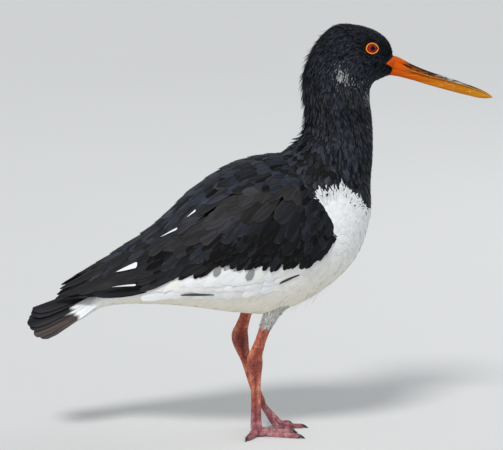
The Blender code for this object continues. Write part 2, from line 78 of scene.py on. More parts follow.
# What changes along the body: depth of the coat, and length, width and spacing of its feathers.
COAT = {
    "coverts_tip": (1.2, 17, 7.0, 3.8),
    "rump": (1.4, 20, 9.0, 3.6),
    "flank": (1.4, 20, 9.0, 3.5),
    "shoulder": (1.5, 17, 7.4, 3.2),
    "breast": (1.6, 13, 5.0, 2.5),
    "neck_root": (1.8, 11, 3.0, 1.8),
    "neck": (1.8, 9.5, 2.0, 1.4),
    "nape": (1.7, 8.2, 1.55, 1.15),
    "occiput": (1.5, 6.6, 1.25, 1.0),
    "hind_crown": (1.3, 5.3, 1.1, 0.92),
    "crown": (1.1, 4.3, 0.98, 0.84),
    "forecrown": (0.95, 3.4, 0.86, 0.76),
    "forehead": (0.8, 2.7, 0.76, 0.7),
    "brow": (0.7, 2.2, 0.68, 0.64),
    "bill_seat": (0.5, 1.7, 0.6, 0.58),
}

# The outer form of the folded wings along x, as in the solids: top, notional bottom and half width.
WING_SECTIONS = [
    (62, 188, 96, 37),
    (48, 194, 90, 44.5),
    (25, 203, 86, 49),
    (0, 202.5, 84, 52),
    (-25, 194.5, 84, 51),
    (-50, 177, 84, 46),
    (-75, 153.5, 80, 37),
    (-100, 136, 76, 28),
    (-125, 121, 72, 20),
    (-148, 107.5, 68, 12.5),
]

# How far the folded wing tucks in to the breast, all along its front edge and low down.
FRONT_TUCK = 5.0
LOW_TUCK = 9.0

# The eye: where its centre lies (x, z) and how far out, its sizes, and how its axis turns forwards and up.
EYE_CENTRE = (78.8, 280.9)
EYE_OUT = 10.6
EYE_RADIUS = 4.9
EYE_RING_RADIUS = 4.15
EYE_TILT = math.radians(16)
EYE_RISE = math.radians(8)
IRIS_RADIUS = 3.5
CORNEA_BULGE = 0.28
GAPE_START = 17.42  # where the corner of the mouth lies, as a place between the body's sections
GAPE_HEIGHT = 269.8

# The bill, as in the solids: x, culmen, mouth line, lower edge and half width.
BILL_SECTIONS = [
    (86, 276.5, 269.4, 262.4, 7.2),
    (92, 275.6, 268.2, 261.2, 6.2),
    (98, 274.3, 266.0, 260.3, 5.6),
    (108, 269.1, 262.8, 257.8, 4.5),
    (120, 264.1, 259.4, 254.2, 3.6),
    (134, 259.5, 256.3, 250.3, 2.8),
    (148, 254.6, 252.4, 246.7, 2.1),
    (157, 251.1, 249.4, 244.7, 1.6),
    (163, 248.2, 247.0, 244.3, 1.1),
    (166.4, 245.7, 245.4, 244.8, 0.5),
]
HORN_START = 93  # x where the bill comes out of the feathers
BILL_FALL = 0.29  # how far the bill points down, in radians

# The camera: where the photo was taken from, in millimetres.
VIEW_PITCH = math.radians(8)
VIEW_DISTANCE = 2500.0
VIEW_TARGET = (-6.1, 0.0, 152.7)
VIEW_SCALE = 0.72  # millimetres for each pixel at the bird
FRAME_WIDTH = 503
SENSOR = 36.0

PATCH_HALF_WIDTH = 0.0014  # a feather's own patch on the baked map
PATCH_LENGTH = 0.003

rng = np.random.default_rng(7)


# Curves and tables

def smooth_through(knots, values, at):
    """A curve through the values at the knots, with the slope at each knot from its two neighbours."""
    knots = np.asarray(knots, float)
    values = np.asarray(values, float)
    slopes = np.gradient(values, knots, axis=0)
    i = np.clip(np.searchsorted(knots, at, side="right") - 1, 0, len(knots) - 2)
    span = knots[i + 1] - knots[i]
    t = (np.asarray(at) - knots[i]) / span
    shape = (...,) + (None,) * (values.ndim - 1)
    t, span = t[shape], span[shape]
    start, end = values[i], values[i + 1]
    leave, arrive = slopes[i] * span, slopes[i + 1] * span
    return (
        start * (2 * t**3 - 3 * t**2 + 1)
        + leave * (t**3 - 2 * t**2 + t)
        + end * (3 * t**2 - 2 * t**3)
        + arrive * (t**3 - t**2)
    )


def table_at(table, x):
    """The other columns of a table whose first column is x, smoothly between its rows."""
    rows = np.array(sorted(table), float)
    return smooth_through(rows[:, 0], rows[:, 1:], np.clip(x, rows[0, 0], rows[-1, 0]))


def edge_at(edge, x):
    """Height at x of an edge given as (x, z)."""
    return table_at(edge, x)[..., 0]


def step(x, low, high):
    """0 below low, 1 above high, and smooth between."""
    t = np.clip((np.asarray(x, float) - low) / (np.asarray(high, float) - low), 0, 1)
    return t * t * (3 - 2 * t)


def bump(x, centre, width):
    """A bell of height 1 about the centre."""
    return np.exp(-(((x - centre) / width) ** 2))


def power(x, exponent):
    """The size of x to a power, with the sign of x."""
    return np.sign(x) * np.abs(x) ** exponent


# Meshes from arrays

def paint(mesh, label, values):
    """Adds a colour layer with three numbers for each point."""
    full = np.ones((len(mesh.vertices), 4), np.float32)
    full[:, :3] = values
    mesh.attributes.new(label, "FLOAT_COLOR", "POINT").data.foreach_set("color", full.ravel())


def add_mesh(name, points, quads, tris=None, uvs=None, colours=None, smooth=60):
    """A mesh object from points in millimetres, its faces turned outwards by the sign of its volume."""
    points = np.asarray(points, float).reshape(-1, 3)
    tris = np.zeros((0, 3), int) if tris is None else tris
    volume = 0.0
    for a, b, c in (quads[:, :3].T, quads[:, [0, 2, 3]].T, tris.T):
        volume += np.einsum("ij,ij->", points[a], np.cross(points[b], points[c]))
    if volume < 0:
        quads, tris = quads[:, ::-1], tris[:, ::-1]
    corners = np.concatenate([quads.ravel(), tris.ravel()]).astype(np.int32)
    starts = np.concatenate([np.arange(len(quads)) * 4, 4 * len(quads) + np.arange(len(tris)) * 3])
    mesh = bpy.data.meshes.new(name)
    mesh.vertices.add(len(points))
    mesh.vertices.foreach_set("co", (points * MM).astype(np.float32).ravel())
    mesh.loops.add(len(corners))
    mesh.loops.foreach_set("vertex_index", corners)
    mesh.polygons.add(len(starts))
    mesh.polygons.foreach_set("loop_start", starts.astype(np.int32))
    mesh.update(calc_edges=True)
    mesh.validate()
    for label, values in (uvs or {}).items():
        layer = mesh.uv_layers.new(name=label)
        layer.uv.foreach_set("vector", np.asarray(values, np.float32)[corners].ravel())
    for label, values in (colours or {}).items():
        paint(mesh, label, values)
    mesh.shade_smooth()
    if smooth < 180:
        mesh.set_sharp_from_angle(angle=math.radians(smooth))
    made = bpy.data.objects.new(name, mesh)
    bpy.context.scene.collection.objects.link(made)
    return made


def finish_piece(piece, material, slot, *nodes):
    """Gives a piece its material, its place on the bird and the nodes it stands for."""
    piece.data.materials.clear()
    piece.data.materials.append(material)
    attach(piece, BODY)
    if nodes:
        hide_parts(*nodes)


def grid_faces(rows, columns, looped=False):
    """Quads of a grid of points closed on itself across its columns, and from last row to first if looped."""
    r = np.arange(rows if looped else rows - 1)[:, None]
    c = np.arange(columns)[None, :]
    below, beside = (r + 1) % rows * columns, (c + 1) % columns
    corners = [r * columns + c, r * columns + beside, below + beside, below + c]
    return np.stack(corners, -1).reshape(-1, 4)


def capped_grid(rings):
    """Points, quads and triangles of a closed solid through rings: a fan to the middle closes each end."""
    rings = np.asarray(rings, float)
    rows, around = rings.shape[:2]
    ends = np.stack([rings[0].mean(axis=0), rings[-1].mean(axis=0)])
    points = np.concatenate([rings.reshape(-1, 3), ends])
    a = np.arange(around)
    b = (a + 1) % around
    pole, base = np.full(around, rows * around), (rows - 1) * around
    first = np.stack([b, a, pole], -1)
    last = np.stack([base + a, base + b, pole + 1], -1)
    return points, grid_faces(rows, around), np.concatenate([first, last])


# Surfaces that feathers lie on

class Form:
    """A surface as a table of points over s, along it, and t, round or across it."""

    def __init__(self, s, t, points, wraps):
        self.s, self.t, self.wraps = s, t, wraps
        along = np.gradient(points, s, axis=0)
        if wraps:
            ring = np.concatenate([points[:, -2:-1], points, points[:, 1:2]], axis=1)
            span = t[1] - t[0]
            across = (ring[:, 2:] - ring[:, :-2]) / (2 * span)
        else:
            across = np.gradient(points, t, axis=1)
        normal = np.cross(along, across)
        centre = points.mean(axis=1, keepdims=True)
        inwards = np.einsum("ijk,ijk->ij", normal, points - centre).sum() < 0
        normal *= -1 if inwards else 1
        normal = normal / np.maximum(np.linalg.norm(normal, axis=2, keepdims=True), 1e-9)
        stretch = np.stack([np.linalg.norm(along, axis=2), np.linalg.norm(across, axis=2)], axis=2)
        self.table = np.concatenate([points, normal, np.maximum(stretch, 1e-3)], axis=2)

    def at(self, s, t):
        """Point, outward normal, and millimetres for each unit of s and of t. It runs on past the table."""
        s, t = np.broadcast_arrays(s, t)
        if self.wraps:
            t = np.mod(t, 1.0)
        f = (s - self.s[0]) / (self.s[1] - self.s[0])
        g = (t - self.t[0]) / (self.t[1] - self.t[0])
        i = np.clip(np.floor(f).astype(int), 0, len(self.s) - 2)
        j = np.clip(np.floor(g).astype(int), 0, len(self.t) - 2)
        f, g = (f - i)[..., None], (g - j)[..., None]
        a = self.table[i, j] * (1 - g) + self.table[i, j + 1] * g
        b = self.table[i + 1, j] * (1 - g) + self.table[i + 1, j + 1] * g
        row = a * (1 - f) + b * f
        normal = row[..., 3:6]
        normal = normal / np.maximum(np.linalg.norm(normal, axis=-1, keepdims=True), 1e-9)
        return row[..., :3], normal, np.maximum(row[..., 6], 0.5), np.maximum(row[..., 7], 0.5)


def body_point(rows, turn):
    """Points of the body's sections: each ring is a superellipse, a little fuller below its middle."""
    back, front, half_width = rows[..., 0:2], rows[..., 2:4], rows[..., 4]
    middle, half = (back + front) / 2, (back - front) / 2
    angle = turn * 2 * math.pi
    up = power(np.cos(angle), 2 / ROUNDNESS)
    out = power(np.sin(angle), 2 / ROUNDNESS) * (1 - BELLY_FULLNESS * up)
    x = middle[..., 0] + up * half[..., 0]
    return np.stack([x, out * half_width, middle[..., 1] + up * half[..., 1]], -1)


def make_body_form():
    """The plumage's surface on the trunk, neck and head. t is in turns: 0 on the back, 0.25 at the left."""
    keys = np.array([[*back, *front, width] for back, front, width in BODY_SECTIONS.values()], float)
    s = np.linspace(0, len(keys) - 1, 24 * (len(keys) - 1) + 1)
    t = np.linspace(0, 1, 241)
    rows = smooth_through(np.arange(len(keys)), keys, s)
    points = body_point(rows[:, None, :], np.broadcast_to(t, (len(s), len(t))))
    return Form(s, t, points, wraps=True)


def wing_frame(x):
    """Middle height, half height and half width of the folded wings at x. The form runs on past its ends."""
    rows = np.array(sorted(WING_SECTIONS), float)
    inside = np.clip(x, rows[0, 0], rows[-1, 0])
    top, bottom, width = np.moveaxis(smooth_through(rows[:, 0], rows[:, 1:], inside), -1, 0)
    past = x - inside
    top = top + 0.62 * np.minimum(past, 0)
    bottom = bottom + 0.3 * np.minimum(past, 0)
    return (top + bottom) / 2, (top - bottom) / 2, width - 0.2 * np.abs(np.minimum(past, 0))


def make_wing_form(side):
    """The surface of one folded wing, tucked in to the breast in front. s is x, t the angle from its top."""
    s = np.linspace(-175, 68, 325)
    t = np.linspace(-0.9, 2.5, 215)
    middle, half, width = (a[:, None] for a in wing_frame(s))
    z = middle + power(np.cos(t), 2 / ROUNDNESS) * half
    tuck = FRONT_TUCK * step(s, 28, 58)[:, None]
    tuck = tuck + LOW_TUCK * step(s, -12, 44)[:, None] * step(-z, -134, -112)
    y = side * power(np.sin(t), 2 / ROUNDNESS) * (width - tuck)
    return Form(s, t, np.stack([np.broadcast_to(s[:, None], z.shape), y, z], -1), wraps=False)


def wing_angle(x, z):
    """The angle from the top of the wings' outer form at which it has height z."""
    middle, half, _ = wing_frame(np.asarray(x, float))
    level = np.clip((z - middle) / half, -0.999, 0.999)
    return np.arccos(power(level, ROUNDNESS / 2))


# Feathers

class Cut:
    """The shape of one kind of feather: rows from root to tip, half widths along them, and points across."""

    def __init__(self, rows, widths, across, camber, thickness, fray=0.0, keel=True):
        self.rows, self.widths = np.asarray(rows, float), np.asarray(widths, float)
        self.across = np.linspace(-1, 1, across)
        self.camber, self.thickness, self.fray, self.keel = camber, thickness, fray, keel


ROUND = Cut(
    (0, 0.3, 0.55, 0.75, 0.88, 0.96),
    (0.35, 0.75, 0.98, 1.0, 0.82, 0.52),
    across=7, camber=0.03, thickness=0.18, fray=0.045,
)
SOFT = Cut(
    (0, 0.3, 0.55, 0.75, 0.9),
    (0.4, 0.8, 1.0, 0.92, 0.62),
    across=7, camber=0.025, thickness=0.15, fray=0.07,
)
LOCK = Cut((0, 0.4, 0.75), (0.6, 1.0, 0.7), across=3, camber=0.26, thickness=0.0, keel=False)
SLIVER = Cut((0, 0.06, 0.4, 0.75), (0.6, 1.0, 0.75, 0.4), across=3, camber=0.05, thickness=0.2, fray=0.05)
BLADE = Cut(
    (0, 0.12, 0.3, 0.5, 0.68, 0.82, 0.91, 0.965, 0.99),
    (0.3, 0.6, 0.86, 0.98, 1.0, 0.93, 0.76, 0.5, 0.27),
    across=9, camber=0.06, thickness=0.4,
)
RECTRIX = Cut(
    (0, 0.12, 0.27, 0.32, 0.36, 0.4, 0.44, 0.48, 0.52, 0.56, 0.6, 0.68, 0.82, 0.91, 0.965, 0.99),
    (0.3, 0.6, 0.82, 0.88, 0.92, 0.94, 0.96, 0.98, 1.0, 1.0, 1.0, 1.0, 0.93, 0.76, 0.5, 0.27),
    across=9, camber=0.06, thickness=0.4,
)


def grow(name, form, cut, s, t, ds, dt, width, low, high, marks, bend=0.0, roll=0.0, home=None):
    """Feathers lying on a form, as one mesh. Each runs from its root (s, t) to (s + ds, t + dt) on the form.

    A point at share a along and b across lies at the root plus a times the run, plus b times half the width
    square to it. It stands above the form by low + (high - low) a, less the camber times the width times b
    squared. A keel below the shaft closes the feather, and a point closes its tip.
    """
    given = (s, t, ds, dt, width, low, high, bend, roll)
    s, t, ds, dt, width, low, high, bend, roll = (np.broadcast_to(v, np.shape(s)) for v in given)
    count = len(s)
    _, _, per_s, per_t = form.at(s, t)
    along = np.stack([ds * per_s, dt * per_t], -1)
    length = np.linalg.norm(along, axis=1)
    square = np.stack([-along[:, 1], along[:, 0]], -1) / np.maximum(length, 1e-6)[:, None]

    rows, across = len(cut.rows), len(cut.across)
    a = np.broadcast_to(cut.rows[None, :, None], (count, rows, across)).copy()
    b = np.broadcast_to(cut.across[None, None, :], (count, rows, across)) * cut.widths[None, :, None]
    if cut.fray:
        a += cut.fray * rng.uniform(-1, 1, a.shape) * (a > 0.5)
    drop = cut.camber * (np.abs(b) ** 2)
    if cut.keel:
        a = np.concatenate([a, np.broadcast_to(cut.rows[None, :, None], (count, rows, 1))], axis=2)
        b = np.concatenate([b, np.zeros((count, rows, 1))], axis=2)
        under = cut.thickness / np.maximum(width, 1e-6)[:, None, None]
        under = under + cut.camber * 0.9 * (cut.widths**2)[None, :, None]
        drop = np.concatenate([drop, np.broadcast_to(under, (count, rows, 1))], axis=2)
    ring = a.shape[2]
    a = np.concatenate([a.reshape(count, -1), np.ones((count, 1))], axis=1)
    b = np.concatenate([b.reshape(count, -1), np.zeros((count, 1))], axis=1)
    drop = np.concatenate([drop.reshape(count, -1), np.full((count, 1), cut.camber * 0.05)], axis=1)

    sideways = b * width[:, None] / 2 + (bend * length)[:, None] * a * (1 - a) * 4
    at_s = s[:, None] + ds[:, None] * a + sideways * (square[:, 0] / per_s)[:, None]
    at_t = t[:, None] + dt[:, None] * a + sideways * (square[:, 1] / per_t)[:, None]
    point, normal, _, _ = form.at(at_s, at_t)
    height = low[:, None] + (high - low)[:, None] * np.clip(a, 0, 1) - drop * width[:, None]
    height = height + b * roll[:, None]
    points = point + normal * height[..., None]

    each = points.shape[1]
    quads = grid_faces(rows, ring)
    c = np.arange(ring)
    d = (c + 1) % ring
    tip = np.stack([(rows - 1) * ring + c, (rows - 1) * ring + d, np.full(ring, each - 1)], -1)
    root = np.stack([np.zeros(ring - 2, int), c[2:], c[1:-1]], -1)
    tris = np.concatenate([tip, root])
    offset = (np.arange(count) * each)[:, None, None]
    quads = (quads[None] + offset).reshape(-1, 4)
    tris = (tris[None] + offset).reshape(-1, 3)

    vane = np.stack([b * 0.5 + 0.5, a], -1).reshape(-1, 2)
    if home is None:
        along_s = (s - form.s[0]) / (form.s[-1] - form.s[0])
        home = np.stack([along_s, (t - form.t[0]) / (form.t[-1] - form.t[0])], -1)
    home = np.clip(home, PATCH_LENGTH, 1 - PATCH_LENGTH)
    patch = home[:, None, :] + np.stack([b * PATCH_HALF_WIDTH, (a - 0.5) * PATCH_LENGTH], -1)
    if callable(marks):
        marks = marks(a, b)
    else:
        marks = np.broadcast_to(marks[:, None, :], (count, each, 3))
    return add_mesh(
        name, points, quads, tris,
        uvs={"Vane": vane, "OFBake": patch.reshape(-1, 2)},
        colours={"Plumage": marks.reshape(-1, 3)},
        smooth=50,
    )


def run_of(form, s, t, way, long, ahead=-1):
    """Run (ds, dt) on a form of feathers of these lengths, at an angle from straight back or ahead."""
    _, _, per_s, per_t = form.at(s, t)
    return ahead * np.cos(way) * long / per_s, np.sin(way) * long / per_t


LATTICE = (0.7548776662466927, 0.5698402909980532)  # strides that fill a square evenly


def spread(form, spacing, s_range, t_range=(0.0, 1.0)):
    """Roots spread evenly over a form: a two-step lattice, carried through the area's running totals.

    Spacing is a number or a function of s.
    """
    s = np.linspace(*s_range, 400)
    t = np.linspace(*t_range, 300)
    _, _, per_s, per_t = form.at(s[:, None], t[None, :])
    gap = spacing(s[:, None]) if callable(spacing) else spacing
    density = per_s * per_t / gap**2
    cell = (s[1] - s[0]) * (t[1] - t[0])
    count = int(density.sum() * cell)
    k = np.arange(count)
    u, v = (np.mod(0.5 + k * stride, 1.0) for stride in LATTICE)
    rows = density.sum(axis=1)
    total = np.concatenate([[0], np.cumsum((rows[1:] + rows[:-1]) / 2)])
    at_s = np.interp(u, total / total[-1], s)
    i = np.clip(np.searchsorted(s, at_s) - 1, 0, len(s) - 1)
    running = np.cumsum(density, axis=1)
    running = (running - running[:, :1]) / (running[:, -1:] - running[:, :1])
    flat = (running + np.arange(len(s))[:, None] * 2).ravel()
    where = np.clip(np.searchsorted(flat, v + i * 2) - i * len(t), 1, len(t) - 1)
    before, after = running[i, where - 1], running[i, where]
    share = np.clip((v - before) / np.maximum(after - before, 1e-9), 0, 1)
    at_t = t[where - 1] + share * (t[1] - t[0])
    return at_s, at_t


def coat_at(s):
    """Depth of the coat, and length, width and spacing of its feathers, at s on the body."""
    knots = [SECTION[name] for name in COAT]
    return np.moveaxis(smooth_through(knots, list(COAT.values()), np.clip(s, knots[0], knots[-1])), -1, 0)


def coat_spacing(s):
    """Distance between the coat's feathers at s on the body."""
    return coat_at(s)[3]


def mantle_spacing(s):
    """Distance between the mantle's feathers at s on a wing."""
    return 4.8 + 0.012 * (50 - s)


# Where the plumage is white

# The edge of the white breast and belly in side view, as (x, z).
WHITE_EDGE = [
    (-130, 106), (-100, 112), (-60, 120), (-20, 136), (10, 144), (30, 158), (40, 172), (43, 181),
    (48, 180), (54, 181.5), (60, 182), (65, 178), (70, 173.5), (76, 168), (82, 164),
]


def wobble(points, size, seed=0.0):
    """A smooth, uneven wave of about the given size, between about -1 and 1."""
    p = points / size
    return (
        np.sin(p[..., 0] * 2.1 + 1.3 * np.sin(p[..., 2] * 1.7 + seed) + seed)
        + np.sin(p[..., 1] * 2.7 + 1.1 * np.sin(p[..., 0] * 2.3 + 2 * seed))
        + np.sin(p[..., 2] * 2.4 + 1.2 * np.sin(p[..., 1] * 1.9 - seed))
    ) / 3


def whiteness(points):
    """1 where the plumage of the body is white and 0 where it is black."""
    x, z = points[..., 0], points[..., 2]
    below = edge_at(WHITE_EDGE, x) + 2.2 * wobble(points, 7.0, 1.0) - z
    return step(below, -0.8, 0.8)


def collar(points):
    """How speckled the throat's pale half collar is."""
    x, z = points[..., 0], points[..., 2]
    patch = 1.1 * np.exp(-(((x - 58.5) / 4.4) ** 2 + ((z - 264.5) / 4.6) ** 2))
    link = 0.35 * np.exp(-(((x - 68) / 4.5) ** 2 + ((z - 260) / 3.8) ** 2))
    front = 0.45 * np.exp(-(((x - 77) / 2.8) ** 2 + ((z - 250) / 7) ** 2))
    front = front + 0.2 * np.exp(-(((x - 79) / 3) ** 2 + ((z - 233) / 9) ** 2))
    return np.clip(patch + link + front, 0, 1)


# Materials

class Value:
    """A shader value. Arithmetic with another value or a number adds a Math node."""

    def __init__(self, tree, socket):
        self.tree, self.socket = tree, socket

    def math(self, operation, first, second):
        """A Math node fed with values or numbers."""
        node = self.tree.nodes.new("ShaderNodeMath")
        node.operation = operation
        for socket, value in zip(node.inputs, (first, second)):
            if isinstance(value, Value):
                self.tree.links.new(value.socket, socket)
            else:
                socket.default_value = value
        return Value(self.tree, node.outputs[0])

    def __add__(self, other):
        return self.math("ADD", self, other)

    def __radd__(self, other):
        return self.math("ADD", other, self)

    def __sub__(self, other):
        return self.math("SUBTRACT", self, other)

    def __rsub__(self, other):
        return self.math("SUBTRACT", other, self)

    def __mul__(self, other):
        return self.math("MULTIPLY", self, other)

    def __rmul__(self, other):
        return self.math("MULTIPLY", other, self)


class Finish:
    """A material being made: its tree, its shader and one way to add any node."""

    def __init__(self, name, roughness=0.5, **fixed):
        self.material = bpy.data.materials.new(name)
        self.material.use_nodes = True
        self.tree = self.material.node_tree
        self.shader = self.tree.nodes["Principled BSDF"]
        self.shader.inputs["Roughness"].default_value = roughness
        for label, value in fixed.items():
            self.shader.inputs[label.replace("_", " ")].default_value = value

    def node(self, kind, settings=None, inputs=None, output=0):
        """Adds a node: its settings, a ramp's stops as (place, colour), then values or links by socket."""
        made = self.tree.nodes.new("ShaderNode" + kind)
        for label, value in (settings or {}).items():
            if label == "stops":
                stops = made.color_ramp.elements
                while len(stops) < len(value):
                    stops.new(0.5)
                for stop, (place, colour) in zip(stops, value):
                    stop.position = place
                    stop.color = (*colour, 1) if np.ndim(colour) else (colour, colour, colour, 1)
            else:
                setattr(made, label, value)
        for label, value in (inputs or {}).items():
            if isinstance(value, Value):
                self.tree.links.new(value.socket, made.inputs[label])
            else:
                made.inputs[label].default_value = value
        return Value(self.tree, made.outputs[output])

    def parts(self, vector):
        """The three numbers of a vector or a colour."""
        split = self.tree.nodes.new("ShaderNodeSeparateXYZ")
        self.tree.links.new(vector.socket, split.inputs[0])
        return [Value(self.tree, split.outputs[i]) for i in range(3)]

    def marks(self, layer):
        """The three numbers of a mesh's colour layer."""
        return self.parts(self.node("Attribute", {"attribute_name": layer}, output="Color"))

    def place(self):
        """The point's own coordinates."""
        return self.node("TexCoord", output="Object")

    def noise(self, vector, scale, detail=3.0):
        """Uneven noise about 0.5."""
        inputs = {"Vector": vector, "Scale": scale, "Detail": detail, "Roughness": 0.55}
        return self.node("TexNoise", inputs=inputs)

    def mapped(self, vector, scale, turn=(0, 0, 0)):
        """A vector turned and scaled."""
        return self.node("Mapping", inputs={"Vector": vector, "Scale": scale, "Rotation": turn})

    def ramp(self, value, *stops):
        """A colour that runs through the stops as the value rises."""
        return self.node("ValToRGB", {"stops": stops}, {"Fac": value})

    def blend(self, factor, first, second):
        """The first colour where the factor is 0 and the second where it is 1."""
        first, second = ((*c, 1) if isinstance(c, tuple) else c for c in (first, second))
        return self.node("Mix", {"data_type": "RGBA"}, {0: factor, 6: first, 7: second}, output=2)

    def smooth(self, value, low, high):
        """0 below low, 1 above high, and smooth between."""
        inputs = {"Value": value, "From Min": low, "From Max": high}
        return self.node("MapRange", {"interpolation_type": "SMOOTHSTEP"}, inputs)

    def bell(self, value, centre, width):
        """1 where value is at the centre, falling smoothly to 0 at width from it."""
        return 1.0 - self.smooth(self.size(value - centre), 0.0, width)

    def size(self, value):
        """A value without its sign."""
        return self.node("Math", {"operation": "ABSOLUTE"}, {0: value})

    def sine(self, value):
        """The sine of a value."""
        return self.node("Math", {"operation": "SINE"}, {0: value})

    def relief(self, height, distance, strength):
        """A normal that follows a height."""
        return self.node("Bump", inputs={"Height": height, "Distance": distance, "Strength": strength})

    def wear(self, **links):
        """Links values to the shader's sockets by name."""
        for label, value in links.items():
            self.tree.links.new(value.socket, self.shader.inputs[label.replace("_", " ")])
        return self.material


def plumage(name, fringe=0.5, barbs=26.0, gloss=0.46, warm=(0.068, 0.059, 0.055)):
    """Feathers: black or white by the mark's red, toned by its green and browned by its blue. On a black
    feather that is not brown, the green sets how much painted bluish sheen it shows.

    Barbs leave the shaft at a slant on both sides. The shaft is a fine raised line and the far edge is paler.
    """
    f = Finish(name, roughness=gloss, Specular_IOR_Level=0.10)
    white, tone, brown = f.marks("Plumage")
    across, along, _ = f.parts(f.node("UVMap", {"uv_map": "Vane"}))
    side = f.size(across - 0.5) * 2.0
    place = f.place()
    patches = f.noise(place, 90.0, 2.0)
    fine = f.noise(place, 700.0, 2.0)
    barb = f.sine((along * barbs - side * barbs * 0.45 + fine * 2.0) * 6.2832) * 0.5 + 0.5
    shaft = 1.0 - f.smooth(side, 0.02, 0.09)
    edge = f.smooth(side * 0.55 + along * 0.75, 0.78, 1.12)
    stretched = f.mapped(f.node("UVMap", {"uv_map": "Vane"}), (7.0, 0.9, 1.0))
    inputs = {0: place, 1: (90.0, 90.0, 90.0), 2: stretched}
    moved = f.node("VectorMath", {"operation": "MULTIPLY_ADD"}, inputs)
    streaks = f.smooth(f.noise(moved, 1.0, 3.0), 0.42, 0.68)

    # Painted sheen: the light end of the black is a bluish sheen painted into the base colour.
    glossy = f.blend(tone, (0.0016, 0.0018, 0.0026), (0.050, 0.061, 0.090))
    dusky = f.blend(tone, (0.0022, 0.0018, 0.0017), warm)
    black = f.blend(brown, glossy, dusky)
    # Dark streaks along the feathers: partly dark shafts, partly painted shadow between them.
    black = f.blend((1.0 - streaks) * 0.45, black, (0.0015, 0.0015, 0.0018))
    black = f.blend(edge * fringe * (0.15 + patches * 0.6), black, (0.060, 0.054, 0.052))
    black = f.blend(barb * 0.10 * (0.3 + tone), black, (0.05, 0.052, 0.058))
    snow = f.blend(tone, (0.66, 0.67, 0.69), (0.88, 0.895, 0.91))
    cream = f.blend(tone, (0.66, 0.61, 0.48), (0.88, 0.83, 0.69))
    pale = f.blend(brown, snow, cream)
    pale = f.blend(barb * 0.06 + (1.0 - along) * 0.08, pale, (0.50, 0.49, 0.47))
    colour = f.blend(white, black, pale)
    colour = f.blend(shaft * 0.25 * (1.0 - white), colour, (0.003, 0.003, 0.003))
    rough = gloss + white * 0.3 + fine * 0.12 + brown * 0.08
    height = barb * 0.35 + shaft * 0.8
    normal = f.relief(height, 0.00012, 0.5)
    return f.wear(Base_Color=colour, Roughness=rough, Normal=normal)


def skin_finish():
    """Down under the feathers, in the plumage's own black and white, and the scaled skin of the legs.

    Bare skin is orange-pink on the legs and mauve on the toes. It is browner where the mark's blue is high:
    the skin's own brown at the joints, and painted shade in the legs' side grooves. The seams between the
    scales are darkened as painted shade.
    """
    f = Finish("skin", roughness=0.7, Specular_IOR_Level=0.14)
    white, bare, tone = f.marks("Marks")
    place = f.place()
    _, _, height = f.parts(place)
    fibres = f.noise(f.mapped(place, (260.0, 700.0, 420.0)), 1.0, 3.0)
    down = f.blend(white, (0.005, 0.005, 0.007), (0.84, 0.82, 0.76))
    down = f.blend(fibres * 0.1, down, (0.05, 0.05, 0.05))
    cells = f.node("TexVoronoi", {"feature": "DISTANCE_TO_EDGE"}, {"Vector": place, "Scale": 460.0})
    groove = 1.0 - f.smooth(cells, 0.02, 0.16)
    blotch = f.noise(place, 170.0, 4.0)
    pink = [(0.36, (0.33, 0.070, 0.044)), (0.5, (0.55, 0.155, 0.090)), (0.64, (0.76, 0.34, 0.22))]
    mauve = [(0.36, (0.19, 0.058, 0.074)), (0.5, (0.33, 0.120, 0.138)), (0.64, (0.54, 0.28, 0.29))]
    upper, toes = f.ramp(blotch, *pink), f.ramp(blotch, *mauve)
    flesh = f.blend(f.smooth(height, 0.034, 0.008), upper, toes)
    # Darker where the mark's blue is high: brown at the joints, painted shade in the side grooves.
    flesh = f.blend(tone * (0.4 + f.smooth(blotch, 0.35, 0.6) * 0.6), flesh, (0.15, 0.030, 0.030))
    # Painted shade: the seams between the scales are darkened, more so where the mark's blue is high.
    flesh = f.blend(groove * (0.35 + tone * 0.45), flesh, (0.11, 0.024, 0.024))
    colour = f.blend(bare, down, flesh)
    rough = 0.8 - bare * 0.40 + blotch * 0.1
    relief = cells * bare * 0.9 + fibres * (1.0 - bare)
    return f.wear(Base_Color=colour, Roughness=rough, Normal=f.relief(relief, 0.00025, 0.6))


